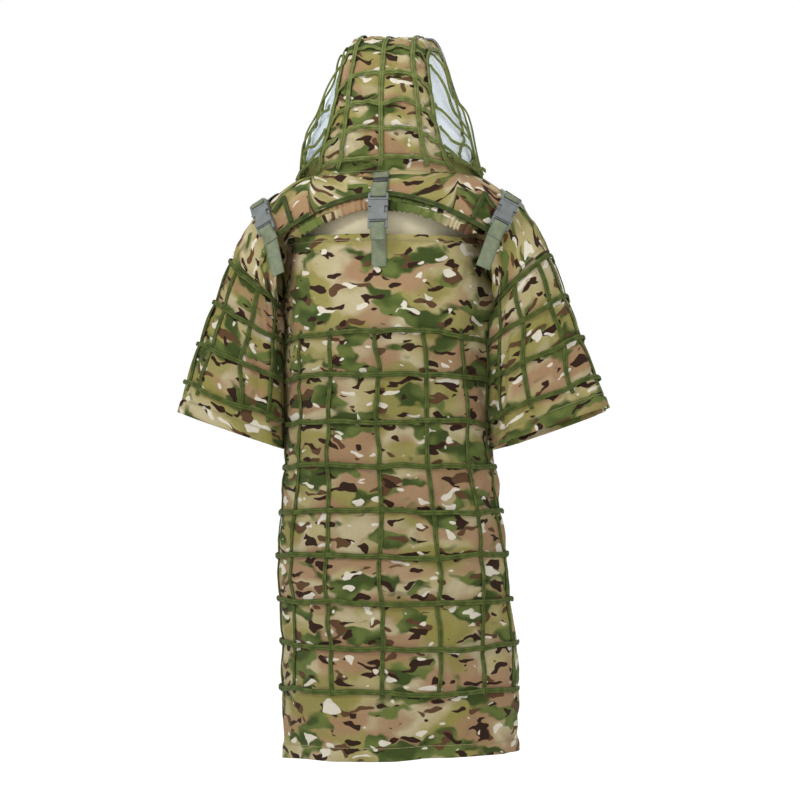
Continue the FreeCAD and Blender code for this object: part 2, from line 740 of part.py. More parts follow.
for name, side in (("left", 1), ("right", -1)):
    points = []
    normals = []
    for turn, height in zip(spread(*SIDE_STRAP_TURN, 9), spread(*SIDE_STRAP_HEIGHT, 9)):
        angle = side * turn
        points.append(torso_point(height, angle, -4.0))
        normals.append(V(math.sin(math.radians(angle)), math.cos(math.radians(angle)), 0))
    save("side_strap_" + name, ribbon(points, normals, WEBBING, STRAP_THICKNESS))
    over_strap = points[4] + normals[4] * 2.6
    save("side_adjuster_" + name, place(adjuster(), over_strap, points[5] - points[4], normals[4]))
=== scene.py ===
"""Looks of the hooded sniper coat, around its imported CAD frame.

Lengths in the tables are millimetres, as in the CAD; every mesh is made in metres.
+Z is up, +Y is the wearer's back and +X is the wearer's left.
"""

import math
import bpy
import numpy as np
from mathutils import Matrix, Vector


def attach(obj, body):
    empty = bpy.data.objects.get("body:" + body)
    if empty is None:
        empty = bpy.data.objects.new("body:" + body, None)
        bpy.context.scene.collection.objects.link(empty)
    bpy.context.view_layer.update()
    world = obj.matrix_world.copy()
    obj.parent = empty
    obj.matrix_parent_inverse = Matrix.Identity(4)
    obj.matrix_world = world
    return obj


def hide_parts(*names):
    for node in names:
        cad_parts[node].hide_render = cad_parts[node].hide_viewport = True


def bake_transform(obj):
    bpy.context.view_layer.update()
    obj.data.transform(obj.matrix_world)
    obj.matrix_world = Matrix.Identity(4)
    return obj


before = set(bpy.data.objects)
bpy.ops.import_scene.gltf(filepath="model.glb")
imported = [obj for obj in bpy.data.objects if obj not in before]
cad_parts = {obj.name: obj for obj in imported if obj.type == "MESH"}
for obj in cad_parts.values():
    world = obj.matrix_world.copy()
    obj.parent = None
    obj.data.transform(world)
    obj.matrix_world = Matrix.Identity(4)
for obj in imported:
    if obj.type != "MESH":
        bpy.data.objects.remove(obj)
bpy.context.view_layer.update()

# ---- form of the coat, repeated from the CAD ----
TORSO = [
    (-30.0, 150.0, 122.0, 4.0),
    (-90.0, 170.0, 132.0, 8.0),
    (-263.0, 166.0, 134.0, 6.0),
    (-480.0, 174.0, 127.0, 2.0),
    (-600.0, 190.0, 132.0, -4.0),
    (-712.0, 194.0, 139.0, -6.0),
    (-862.0, 193.5, 146.0, -10.5),
    (-966.0, 194.5, 150.0, -14.0),
]
PANEL_TOP = -101.0
TAIL_HEM = -966.0
LINER_TOP = -52.0
LINER_BOTTOM = -200.0
FIRST_ROW = -261.0
NET_PITCH = 74.0
ROW_COUNT = 9
COLUMN_PLACES = [-0.85, -0.578, -0.295, 0.0, 0.295, 0.578, 0.85]
SHOULDER = [
    (0.0, 28.0, 0.0, -230.0, 136.0),
    (80.0, 26.0, 80.0, -230.0, 128.0),
    (150.0, 9.0, 140.0, -226.0, 108.0),
    (215.0, -34.0, 170.0, -216.0, 90.0),
    (248.0, -76.0, 180.0, -209.0, 82.0),
    (270.0, -122.0, 184.0, -204.0, 78.0),
]
FULLNESS = 2.8
YOKE_ARC_MIDDLE = -38.0
YOKE_ARC_END = -101.0
YOKE_ARC_HALF = 180.0
YOKE_ARC_POWER = 1.75
NECK_HALF_WIDTH = 124.0
NECK_HALF_DEPTH = 92.0
RIDGE_ANGLE = 0.03
UNDERARM_ANGLE = 0.2
BIB_BOTTOM = -170.0
BIB_START = 0.12
CASING_DROP = 10.0
SHOULDER_STRAP = [(0.66, 26.0), (0.62, 12.0), (0.58, -4.0), (0.55, -22.0), (0.52, -44.0), (0.5, -66.0)]
SLEEVE = [
    (270.0, -122.0, 184.0, -204.0, 78.0),
    (290.0, -180.0, 184.0, -250.0, 82.0),
    (314.0, -242.0, 183.0, -308.0, 85.0),
    (337.0, -306.0, 182.0, -372.0, 86.0),
    (368.0, -391.0, 181.0, -455.0, 87.0),
]
SLEEVE_ROWS = [0.03, 0.33, 0.61, 0.84]
SLEEVE_COLUMNS = [28.0, 62.0, 98.0, 136.0]
HOOD_BASE = 13.0
HOOD_LINE = [
    (104.0, 13.0),
    (119.0, 75.0),
    (113.0, 145.0),
    (84.0, 208.0),
    (34.0, 243.0),
    (-40.0, 258.0),
    (-122.0, 270.0),
]
HOOD_PIVOT_Y = -30.0
HOOD_HALF_WIDTH = 156.0
HOOD_SIDE = 150.0
HOOD_SHOULDER = 0.33
HOOD_SHOULDER_START = 0.33
HOOD_SHOULDER_END = 0.72
HOOD_FALL = 3.9
HOOD_ROUND = 2.2
SEAM_BASE = 118.0
SEAM_CROWN = 72.0
GUSSET_END = 0.13
HOOD_ROW_HEIGHTS = [30.0, 74.0, 117.0, 165.0, 213.0]
HOOD_COLUMN_SHARES = [0.0, -0.64, 0.64, -0.95, 0.95]
BRIM_WIDTH = 24.0
BRIM_HALF = 118.0
BUCKLE_LIFT = 9.0
SOCKET_LENGTH = 47.0
CHEST_HEIGHT = -130.0
CHEST_DEPTH = 139.0
TAPE_WIDTH = 8.0
WEBBING = 25.0
MM = 0.001
SIDES = (("left", 1), ("right", -1))

# ---- cloth details ----
PANEL_REACH = 88.0  # degrees around the torso from the middle of the back to the panel's edge
LINER_REACH = 84.0
ROW_SPAN = 0.972  # share of the panel's half width that a tape row takes
ROW_SAG = [15.0, 7.0, 4.0, 2.0, 0.0, -1.0, -2.0, -2.0, -3.0]
SHOULDER_LENGTH = 290.0  # cloth from the neck to the sleeve seam
SLEEVE_LENGTH = 290.0
SLEEVE_MARKS = SLEEVE_ROWS + [1.2]
HOOD_MARKS = [-6.0] + HOOD_ROW_HEIGHTS + [262.0]
HOOD_CROSSINGS = [0.0, 0.64, 0.95, 1.1]  # shares of the seam's distance, and the columns counted there
HOOD_CROSSING_COUNTS = [0.0, 1.0, 2.0, 2.4]
EDGE_TAPE_HALF = 176.0
CASING_HALF = 158.0
ELASTIC_HALF = 142.0
CASING_STEP = 1.5
CASING_PLEAT = 10.5


# ---- small helpers ----
def unit(vectors):
    return vectors / np.maximum(np.linalg.norm(vectors, axis=-1, keepdims=True), 1e-9)


def field(u, v, seed):
    """Smooth noise between -1 and 1, with one bump per unit of u and v."""
    size = 256
    values = np.random.RandomState(seed).rand(size, size) * 2.0 - 1.0
    u, v = np.asarray(u, float) + 100.0, np.asarray(v, float) + 100.0
    i, j = np.floor(u).astype(int), np.floor(v).astype(int)
    a, b = u - i, v - j
    a, b = a * a * (3 - 2 * a), b * b * (3 - 2 * b)
    i, j = i % size, j % size
    i2, j2 = (i + 1) % size, (j + 1) % size
    low = values[i, j] * (1 - a) + values[i2, j] * a
    high = values[i, j2] * (1 - a) + values[i2, j2] * a
    return low * (1 - b) + high * b


def ramp(x, low, high):
    """Smooth step from 0 at low to 1 at high."""
    t = np.clip((np.asarray(x, float) - low) / (high - low), 0.0, 1.0)
    return t * t * (3 - 2 * t)


def rows_at(rows, x, window=0.0):
    """Other columns of a table at x, by straight lines that are rounded over a window."""
    places, *columns = np.array(sorted(rows), float).T
    x = np.asarray(x, float)
    shifts = np.linspace(-window, window, 5)
    layers = [np.stack([np.interp(x + shift, places, column) for column in columns], -1) for shift in shifts]
    return sum(layers) / len(shifts)


def counted(x, marks):
    """How many marks x has passed, with the part of the way to the next."""
    return np.interp(x, marks, np.arange(len(marks)))


# ---- surfaces, in millimetres ----
def torso_point(z, angle, offset=0.0):
    half, depth, middle = np.moveaxis(rows_at(TORSO, z, 40.0), -1, 0)
    turn = np.radians(angle)
    z = np.broadcast_to(z, np.broadcast(z, turn).shape)
    return np.stack([middle + (half + offset) * np.sin(turn), (depth + offset) * np.cos(turn), z], -1)


def ring_point(rows, angle, offset=0.0):
    """Points of superellipse rings. rows holds outer x and z, inner x and z, and half depth."""
    rows = np.asarray(rows, float)
    high = np.stack([rows[..., 0], 0 * rows[..., 0], rows[..., 1]], -1)
    low = np.stack([rows[..., 2], 0 * rows[..., 0], rows[..., 3]], -1)
    centre = (high + low) / 2
    arm = high - centre
    reach = np.linalg.norm(arm, axis=-1)
    c, s = np.cos(np.radians(angle)), np.sin(np.radians(angle))
    power = 2.0 / FULLNESS
    up = np.sign(c) * np.abs(c) ** power * (reach + offset) / reach
    side = np.sign(s) * np.abs(s) ** power * (rows[..., 4] + offset)
    return centre + arm * up[..., None] + np.stack([0 * side, side, 0 * side], -1)


def mirrored(points, side):
    return points * np.array([side, 1.0, 1.0])


def shoulder_point(share, angle, offset=0.0):
    share = np.asarray(share, float)
    table = [(i / (len(SHOULDER) - 1.0),) + row for i, row in enumerate(SHOULDER)]
    rows = rows_at(table, np.abs(share), 0.03)
    points = ring_point(rows, angle, offset)
    return points * np.stack([np.where(share < 0, -1.0, 1.0), 0 * share + 1, 0 * share + 1], -1)


def shoulder_normal(share, angle):
    step = 0.01 if share < 0.99 else -0.01
    along = shoulder_point(share + step, angle) - shoulder_point(share, angle)
    turn = shoulder_point(share, angle + 2) - shoulder_point(share, angle - 2)
    normal = unit(np.cross(along, turn))
    inside = shoulder_point(share, angle, -1.0) - shoulder_point(share, angle)
    return -normal if normal @ inside > 0 else normal


def angle_where(share, keep, turn, limit=180.0 - UNDERARM_ANGLE):
    """Largest angle down the back (turn 1) or the front (turn -1) at which keep still holds."""
    low, high = 0.0, limit
    if keep(shoulder_point(share, turn * high)):
        return high
    for _ in range(24):
        middle = (low + high) / 2
        if keep(shoulder_point(share, turn * middle)):
            low = middle
        else:
            high = middle
    return low


def on_shoulders(x, z):
    """Share and angle of the point of the shoulders' back that has this x and z."""
    low, high = 0.0, 1.0
    for _ in range(24):
        share = (low + high) / 2
        angle = angle_where(share, lambda point: point[2] >= z, 1)
        if shoulder_point(share, angle)[0] < abs(x):
            low = share
        else:
            high = share
    return math.copysign(share, x), angle


def neck_angle(share, turn):
    def inside(point):
        return (point[0] / NECK_HALF_WIDTH) ** 2 + (point[1] / NECK_HALF_DEPTH) ** 2 < 1.0

    if not inside(shoulder_point(share, 0.0)):
        return turn * RIDGE_ANGLE
    return turn * angle_where(share, inside, turn, 90.0)


def yoke_arc(x, drop=0.0):
    share = min(abs(x) / YOKE_ARC_HALF, 1.0)
    return YOKE_ARC_MIDDLE + (YOKE_ARC_END - YOKE_ARC_MIDDLE) * share**YOKE_ARC_POWER - drop


def sleeve_rows(share):
    table = [(i / (len(SLEEVE) - 1.0),) + row for i, row in enumerate(SLEEVE)]
    return rows_at(table, share, 0.05)


def sleeve_point(share, angle, offset=0.0):
    return ring_point(sleeve_rows(share), angle, offset)


def hood_line(share):
    """Y and Z of the hood's middle line, 0 at the nape and 1 at the brim."""
    place = np.clip(share, 0.0, 1.0) * (len(HOOD_LINE) - 1)
    first = np.minimum(place.astype(int), len(HOOD_LINE) - 2)
    part = (place - first)[..., None]
    line = np.array(HOOD_LINE)
    p, q, r, s = [line[np.clip(first + i, 0, len(HOOD_LINE) - 1)] for i in (-1, 0, 1, 2)]
    return q + part * ((r - p) + part * (2 * p - 5 * q + 4 * r - s + part * (3 * (q - r) + s - p))) / 2


def hood_point(x, share):
    """Point of the hood x from its middle. A share below 0 goes down over the yoke."""
    x, share = np.broadcast_arrays(np.asarray(x, float), np.asarray(share, float))
    line = hood_line(share)
    place = np.abs(x) / HOOD_HALF_WIDTH
    shoulder = HOOD_SHOULDER * ramp(place, HOOD_SHOULDER_START, HOOD_SHOULDER_END)
    rise = 1.0 - shoulder - (1.0 - HOOD_SHOULDER) * place**HOOD_FALL
    reach = (1.0 - np.minimum(np.abs(x) / HOOD_HALF_WIDTH, 0.999) ** HOOD_ROUND) ** (1.0 / HOOD_ROUND)
    y = HOOD_PIVOT_Y + reach * (line[..., 0] - HOOD_PIVOT_Y)
    z = HOOD_BASE + rise * (line[..., 1] - HOOD_BASE)
    below = np.minimum(share, 0.0)
    return np.stack([x, y - 30.0 * below * reach, z + 170.0 * below], -1)


def hood_seam(share):
    return SEAM_CROWN + (SEAM_BASE - SEAM_CROWN) * np.maximum(1.0 - share / 0.55, 0.0) ** 1.3


def share_at_height(height):
    shares = np.linspace(0.0, 0.75, 400)
    return float(np.interp(height, hood_line(shares)[:, 1], shares))


# ---- mesh makers ----
def grid_normals(points):
    down = np.gradient(points, axis=0)
    across = np.gradient(points, axis=1)
    return unit(np.cross(across, down))


def new_object(name, verts, faces, uvs, material, wraps=None):
    """Mesh object in metres. uvs has one pair per vertex, and wraps the way around a closed sheet there."""
    mesh = bpy.data.meshes.new(name)
    faces = np.asarray(faces, np.int32)
    mesh.vertices.add(len(verts))
    mesh.vertices.foreach_set("co", np.asarray(verts, np.float32).ravel())
    mesh.loops.add(faces.size)
    mesh.loops.foreach_set("vertex_index", faces.ravel())
    mesh.polygons.add(len(faces))
    mesh.polygons.foreach_set("loop_start", np.arange(0, faces.size, 4, dtype=np.int32))
    mesh.update(calc_edges=True)
    layer = mesh.uv_layers.new(name="cloth")
    corners = np.asarray(uvs, np.float32)[faces]
    if wraps is not None:
        around = np.asarray(wraps, np.float32)[faces]
        wide = np.ptp(corners[..., 0], axis=1, keepdims=True) > around / 2
        low = corners[..., 0] < corners[..., 0].mean(1, keepdims=True)
        corners[..., 0] += around * (wide & low)
    layer.data.foreach_set("uv", corners.ravel())
    mesh.polygons.foreach_set("use_smooth", np.full(len(faces), True))
    mesh.materials.append(material)
    mesh.validate()
    made = bpy.data.objects.new(name, mesh)
    bpy.context.scene.collection.objects.link(made)
    return made


def quads(rows, cols, closed, start=0, flip=False):
    """Faces of a grid of points, numbered row by row."""
    i, j = np.meshgrid(np.arange(rows - 1), np.arange(cols if closed else cols - 1), indexing="ij")
    j2 = (j + 1) % cols
    row, below = i * cols, (i + 1) * cols
    faces = np.stack([row + j, row + j2, below + j2, below + j], -1).reshape(-1, 4)
    return (faces[:, ::-1] if flip else faces) + start


class Cloth:
    """A sheet of cloth over a grid of points in millimetres, thickened inwards."""

    def __init__(self, name, points, material, centre, thickness=1.3, closed=False, shift=(0.0, 0.0)):
        self.points = points
        self.closed = closed
        padded = np.concatenate([points[:, -1:], points, points[:, :1]], 1) if closed else points
        normals = grid_normals(padded)
        if closed:
            normals = normals[:, 1:-1]
        outward = np.sum(normals * (points - np.asarray(centre, float)), -1)
        self.turned = outward.mean() < 0
        self.normals = -normals if self.turned else normals
        rows, cols = points.shape[:2]
        inner = points - self.normals * thickness
        verts = np.concatenate([points.reshape(-1, 3), inner.reshape(-1, 3)]) * MM
        count = rows * cols
        faces = [quads(rows, cols, closed, 0, not self.turned), quads(rows, cols, closed, count, self.turned)]
        self.rims(faces, rows, cols, count)
        across = np.linalg.norm(np.diff(points, axis=1), axis=-1)
        down = np.linalg.norm(np.diff(points, axis=0), axis=-1)
        u = np.concatenate([np.zeros((rows, 1)), np.cumsum(across, 1)], 1)
        u = u - u[:, cols // 2 : cols // 2 + 1]
        v = -np.concatenate([np.zeros((1, cols)), np.cumsum(down, 0)], 0)
        uv = np.stack([u, v], -1).reshape(-1, 2) * MM + np.asarray(shift)
        wraps = None
        if closed:
            seam = np.linalg.norm(points[:, 0] - points[:, -1], axis=-1)
            wraps = np.tile(np.repeat((across.sum(1) + seam) * MM, cols), 2)
        self.made = new_object(name, verts, np.concatenate(faces), np.concatenate([uv, uv]), material, wraps)
        self.width = float(across.sum(1).mean()) * MM
        self.length = float(down.sum(0).mean()) * MM
        corner = points[:-1, :-1]
        cells = np.cross(points[1:, :-1] - corner, points[:-1, 1:] - corner)
        self.area = float(np.linalg.norm(cells, axis=-1).sum()) * MM * MM

    def rims(self, faces, rows, cols, count):
        """Close the edges between the outside and the inside."""
        lines = [(np.arange(cols), True), (np.arange(cols) + (rows - 1) * cols, False)]
        if not self.closed:
            lines += [(np.arange(rows) * cols, False), (np.arange(rows) * cols + cols - 1, True)]
        for line, flip in lines:
            ring = np.append(line, line[0]) if self.closed else line
            strip = np.stack([ring[:-1], ring[1:], ring[1:] + count, ring[:-1] + count], -1)
            faces.append(strip[:, ::-1] if flip == self.turned else strip)

    def at(self, a, b):
        """Positions and normals at shares a down the rows and b across the columns."""
        rows, cols = self.points.shape[:2]
        a = np.clip(np.asarray(a, float), 0, 1) * (rows - 1)
        b = np.clip(np.asarray(b, float), 0, 1) * (cols - 1)
        i, j = np.minimum(a.astype(int), rows - 2), np.minimum(b.astype(int), cols - 2)
        s, t = (a - i)[..., None], (b - j)[..., None]

        def mix(grid):
            top = grid[i, j] * (1 - t) + grid[i, j + 1] * t
            return top * (1 - s) + (grid[i + 1, j] * (1 - t) + grid[i + 1, j + 1] * t) * s

        return mix(self.points), unit(mix(self.normals))

    def declare(self, held, rests_on, **more):
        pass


def section(edge, upper, top, bottom):
    """Outline of a tape across, as shares of its width and thickness. upper and edge are pairs."""
    right = [(top, 1.0), upper, (0.5, edge), (bottom, 0.0)]
    return [(-0.5, edge), (-upper[0], upper[1]), (-top, 1.0)] + right + [(-bottom, 0.0)]


SECTION = section(0.25, (0.42, 0.75), 0.12, 0.42)
FLAT_SECTION = section(0.3, (0.48, 0.9), 0.3, 0.46)


def smoothed(points, step):
    """Points at even steps on a smooth line through the given ones."""
    points = np.asarray(points, float)
    lengths = np.concatenate([[0.0], np.cumsum(np.linalg.norm(np.diff(points, axis=0), axis=1))])
    count = max(int(lengths[-1] / step), 4)
    wanted = np.linspace(0, lengths[-1], count + 1)
    place = np.interp(wanted, lengths, np.arange(len(points)))
    first = np.minimum(place.astype(int), len(points) - 2)
    part = (place - first)[:, None]
    p, q, r, s = [points[np.clip(first + i, 0, len(points) - 1)] for i in (-1, 0, 1, 2)]
    return q + part * ((r - p) + part * (2 * p - 5 * q + 4 * r - s + part * (3 * (q - r) + s - p))) / 2


def ribbons(name, paths, material, width, thickness, outline=SECTION, step=4.0):
    """One object of flat tapes. Each path has points and the directions that its face points to."""
    all_verts, all_faces, all_uvs = [], [], []
    start = 0
    for points, normals in paths:
        line = smoothed(points, step)
        facing = unit(smoothed(np.concatenate([points, normals], 1), step)[:, 3:])
        if len(facing) != len(line):
            facing = facing[np.linspace(0, len(facing) - 1, len(line)).astype(int)]
        along = unit(np.gradient(line, axis=0))
        across = unit(np.cross(along, facing))
        up = unit(np.cross(across, along))
        run = np.concatenate([[0.0], np.cumsum(np.linalg.norm(np.diff(line, axis=0), axis=1))])
        side, rise = np.array(outline).T * np.array([[width], [thickness]])
        verts = line[:, None] + across[:, None] * side[None, :, None] + up[:, None] * rise[None, :, None]
        rows, cols = verts.shape[:2]
        uv = np.stack(np.broadcast_arrays(side[None, :] * MM, run[:, None] * MM), -1)
        faces = [quads(rows, cols, True, start, True)]
        cap = np.array([[0, 1, 6, 7], [1, 2, 5, 6], [2, 3, 4, 5]]) + start
        faces += [cap, cap[:, ::-1] + (rows - 1) * cols]
        all_verts.append(verts.reshape(-1, 3) * MM)
        all_faces.append(np.concatenate(faces))
        all_uvs.append(uv.reshape(-1, 2))
        start += rows * cols
    verts, faces, uvs = [np.concatenate(part) for part in (all_verts, all_faces, all_uvs)]
    return new_object(name, verts, faces, uvs, material)


def tube_object(name, grid, material):
    """Closed tube through rings of points, one ring to a row. Its ends close on their middles."""
    ends = [np.repeat(ring.mean(0)[None], len(ring), 0)[None] for ring in (grid[0], grid[-1])]
    grid = np.concatenate([ends[0], grid, ends[1]])
    rows, cols = grid.shape[:2]
    run = np.concatenate([[0.0], np.cumsum(np.linalg.norm(np.diff(grid[:, 0], axis=0), axis=1))])
    around = np.linspace(0, np.linalg.norm(np.diff(grid[1], axis=0), axis=1).sum(), cols)
    uv = np.stack(np.broadcast_arrays(run[:, None] * MM, around[None] * MM), -1).reshape(-1, 2)
    return new_object(name, grid.reshape(-1, 3) * MM, quads(rows, cols, True), uv, material)


# ---- materials ----
def linear(rgb):
    """Linear colour from an sRGB one with values up to 255."""
    shares = [value / 255.0 for value in rgb]
    return tuple(c / 12.92 if c <= 0.04045 else ((c + 0.055) / 1.055) ** 2.4 for c in shares) + (1.0,)


class Nodes:
    """A node material with a few shortcuts."""

    def __init__(self, name, roughness, **shader):
        self.material = bpy.data.materials.new(name)
        self.material.use_nodes = True
        self.tree = self.material.node_tree
        self.shader = self.tree.nodes["Principled BSDF"]
        self.shader.inputs["Roughness"].default_value = roughness
        for key, value in shader.items():
            self.shader.inputs[key.replace("_", " ")].default_value = value

    def put(self, socket, value):
        if isinstance(value, bpy.types.NodeSocket):
            self.tree.links.new(value, socket)
        else:
            socket.default_value = value

    def add(self, kind, output, inputs=(), **settings):
        made = self.tree.nodes.new("ShaderNode" + kind)
        for key, value in settings.items():
            setattr(made, key, value)
        for key, value in dict(inputs).items():
            self.put(made.inputs[key], value)
        return made.outputs[output]

    def uv(self):
        return self.add("UVMap", "UV", uv_map="cloth")

    def scaled(self, vector, size, shift=(0.0, 0.0, 0.0)):
        return self.add("Mapping", "Vector", {"Vector": vector, "Scale": size, "Location": shift})

    def noise(self, vector, scale, detail=1.0, roughness=0.5, output="Fac"):
        values = {"Vector": vector, "Scale": scale, "Detail": detail, "Roughness": roughness}
        return self.add("TexNoise", output, values)

    def ramp(self, fac, stops, smooth=False):
        """Colour ramp. Each stop is a place and an sRGB colour or a grey value."""
        made = self.tree.nodes.new("ShaderNodeValToRGB")
        made.color_ramp.interpolation = "EASE" if smooth else "LINEAR"
        while len(made.color_ramp.elements) < len(stops):
            made.color_ramp.elements.new(0.5)
        for element, (place, colour) in zip(made.color_ramp.elements, stops):
            element.position = place
            element.color = linear(colour) if hasattr(colour, "__len__") else (colour, colour, colour, 1.0)
        self.put(made.inputs["Fac"], fac)
        return made.outputs["Color"]

    def mix(self, fac, one, two, blend="MIX"):
        made = self.tree.nodes.new("ShaderNodeMix")
        made.data_type = "RGBA"
        made.blend_type = blend
        self.put(made.inputs["Factor"], fac)
        for socket, value in ((made.inputs[6], one), (made.inputs[7], two)):
            self.put(socket, linear(value) if isinstance(value, tuple) and len(value) == 3 else value)
        return made.outputs[2]

    def base(self, colour):
        self.put(self.shader.inputs["Base Color"], colour)

    def times(self, one, two):
        return self.mix(1.0, one, two, "MULTIPLY")

    def axis(self, vector, name):
        return self.add("SeparateXYZ", name, {0: vector})

    def math(self, operation, one, two=0.0):
        made = self.tree.nodes.new("ShaderNodeMath")
        made.operation = operation
        self.put(made.inputs[0], one)
        self.put(made.inputs[1], two)
        return made.outputs[0]

    def bump(self, height, strength, distance):
        normal = self.add("Bump", "Normal", {"Height": height, "Strength": strength, "Distance": distance})
        self.tree.links.new(normal, self.shader.inputs["Normal"])

    def weave(self, uv, thread):
        """Height of a plain weave with this distance between threads, in metres."""
        count = 1.0 / thread
        waves = []
        for direction in ("X", "Y"):
            values = {"Vector": uv, "Scale": count / 6.2832 * 3.1416, "Distortion": 0.0}
            waves.append(self.add("TexWave", "Fac", values, wave_type="BANDS", bands_direction=direction))
        return self.math("MULTIPLY", waves[0], waves[1])


def camo_material(name, shift, painted_shade, low_painted_shade):
    """Printed camouflage: tan, pink and olive fields, green shapes, and small sharp brown and cream blobs.

    The cloth is darkened by painted shade: by the first factor over the whole sheet, which gives lit and
    shaded copies for different parts, and by the second below the first tapes of a long sheet, for lower
    cloth that gets less light from above.
    """
    m = Nodes(name, 0.9, Sheen_Weight=0.02, Specular_IOR_Level=0.06)
    sheet_uv = m.uv()
    uv = m.scaled(sheet_uv, (1.0, 1.0, 1.0), shift)
    wobble = m.noise(uv, 34.0, 1.0, 0.5, "Color")
    offset = m.add("VectorMath", 0, {0: wobble, 1: (0.5, 0.5, 0.5)}, operation="SUBTRACT")
    offset = m.add("VectorMath", 0, {0: offset, 1: (0.034, 0.022, 0.0)}, operation="MULTIPLY")
    moved = m.add("VectorMath", 0, {0: uv, 1: offset}, operation="ADD")
    wide = m.scaled(moved, (1.0, 1.8, 1.0))
    wider = m.scaled(moved, (1.0, 2.1, 1.0))

    def layer(base, scale, place, detail=1.0):
        return m.noise(m.scaled(base, (1.0, 1.0, 1.0), place), scale, detail)

    sand = [(0.36, (146, 138, 80)), (0.45, (178, 166, 118)), (0.55, (190, 178, 142)), (0.66, (164, 136, 102))]
    colour = m.ramp(layer(wide, 6.8, (0.0, 0.0, 0.0)), sand, True)
    green = m.ramp(m.noise(wide, 15.0, 1.0), [(0.42, (66, 80, 38)), (0.6, (104, 116, 60))], True)
    for noise, low, high, full, tone in (
        (layer(wide, 9.0, (3.1, 1.7, 0.0)), 0.49, 0.6, 0.85, (146, 138, 74)),
        (layer(wide, 8.0, (7.3, 4.2, 0.0)), 0.5, 0.62, 0.9, (164, 130, 98)),
        (layer(wide, 12.5, (1.3, 9.4, 0.0), 1.8), 0.53, 0.575, 1.0, green),
        (layer(wider, 24.0, (5.5, 2.2, 0.0), 0.6), 0.65, 0.665, 1.0, (96, 70, 48)),
        (layer(wider, 27.0, (8.8, 6.1, 0.0)), 0.618, 0.63, 1.0, (54, 36, 27)),
        (layer(wide, 28.0, (2.4, 5.7, 0.0)), 0.648, 0.662, 1.0, (222, 214, 196)),
    ):
        colour = m.mix(m.ramp(noise, [(low, 0.0), (high, full)], full < 1.0), colour, tone)
    fade = m.ramp(m.noise(uv, 260.0, 3.0, 0.7), [(0.3, 0.86), (0.7, 1.0)])
    # Painted shade: the colour darkens from 0.1 m down the sheet and is fully darkened at 0.22 m.
    lower = m.math("MULTIPLY", m.axis(sheet_uv, "Y"), -1.0)
    m.base(m.times(m.times(colour, fade), m.ramp(lower, [(0.1, painted_shade), (0.22, low_painted_shade)], True)))
    wear = m.noise(uv, 55.0, 3.0, 0.6)
    m.put(m.shader.inputs["Roughness"], m.ramp(wear, [(0.3, 0.8), (0.7, 0.94)]))
    height = m.math("ADD", m.math("MULTIPLY", m.weave(uv, 0.0011), 0.3), m.noise(uv, 75.0, 3.0, 0.65))
    m.bump(height, 0.55, 0.0016)
    return m.material


def plain_cloth(name, rgb, other, thread=0.0011, **shader):
    m = Nodes(name, 0.9, Sheen_Weight=0.03, Specular_IOR_Level=0.1, **shader)
    uv = m.uv()
    tone = m.ramp(m.noise(uv, 14.0, 3.0, 0.6), [(0.35, rgb), (0.68, other)], True)
    grain = m.ramp(m.noise(uv, 420.0, 2.0, 0.7), [(0.3, 0.9), (0.7, 1.0)])
    m.base(m.times(tone, grain))
    height = m.math("ADD", m.math("MULTIPLY", m.weave(uv, thread), 0.6), m.noise(uv, 90.0, 3.0, 0.6))
    m.bump(height, 0.3, 0.0008)
    return m.material


def tape_material(name, light, dark, half_width):
    """Woven tape with painted shade in a groove along its middle and at its rounded edges."""
    m = Nodes(name, 0.85, Sheen_Weight=0.02, Specular_IOR_Level=0.1)
    uv = m.uv()
    off_middle = m.math("ABSOLUTE", m.axis(uv, "X"))
    place = m.math("DIVIDE", off_middle, half_width)
    # Painted shade in the middle groove and at the edges; the same profile also lowers the bump there.
    groove_and_painted_shade = m.ramp(place, [(0.0, 0.55), (0.14, 0.6), (0.24, 1.0), (0.8, 0.95), (1.0, 0.55)])
    tone = m.ramp(m.noise(uv, 60.0, 3.0, 0.6), [(0.32, dark), (0.7, light)], True)
    m.base(m.times(tone, groove_and_painted_shade))
    slanted = m.math("SUBTRACT", m.axis(uv, "Y"), m.math("MULTIPLY", off_middle, 1.6))
    ribs = m.math("SINE", m.math("MULTIPLY", slanted, 3500.0))
    m.bump(m.math("ADD", m.math("MULTIPLY", ribs, 0.35), groove_and_painted_shade), 0.5, 0.0006)
    return m.material


def webbing_material(name, light, dark):
    m = Nodes(name, 0.72, Sheen_Weight=0.03, Specular_IOR_Level=0.2)
    uv = m.uv()
    across = m.axis(uv, "X")
    ribs = m.math("SINE", m.math("MULTIPLY", m.axis(uv, "Y"), 4200.0))
    lines = m.math("SINE", m.math("MULTIPLY", across, 3140.0))
    tone = m.ramp(m.noise(uv, 70.0, 3.0, 0.6), [(0.3, dark), (0.72, light)], True)
    # Painted shade: the outer 2 mm to each side of the webbing darken, where it rounds away.
    edge = m.ramp(m.math("ABSOLUTE", across), [(0.0, 1.0), (0.0105, 1.0), (0.0125, 0.72)])
    m.base(m.times(tone, edge))
    m.bump(m.math("ADD", ribs, m.math("MULTIPLY", lines, 0.6)), 0.45, 0.0005)
    return m.material


def plastic_material(name, light, dark, roughness):
    """Moulded plastic for the CAD's own buckles, which have no UV map."""
    m = Nodes(name, roughness, Specular_IOR_Level=0.5)
    place = m.add("TexCoord", "Object")
    m.base(m.ramp(m.noise(place, 45.0, 3.0, 0.6), [(0.3, dark), (0.7, light)], True))
    scuffs = m.noise(place, 220.0, 4.0, 0.7)
    m.put(m.shader.inputs["Roughness"], m.ramp(scuffs, [(0.35, roughness - 0.08), (0.7, roughness + 0.12)]))
    m.bump(m.noise(place, 1800.0, 2.0, 0.6), 0.25, 0.0003)
    return m.material


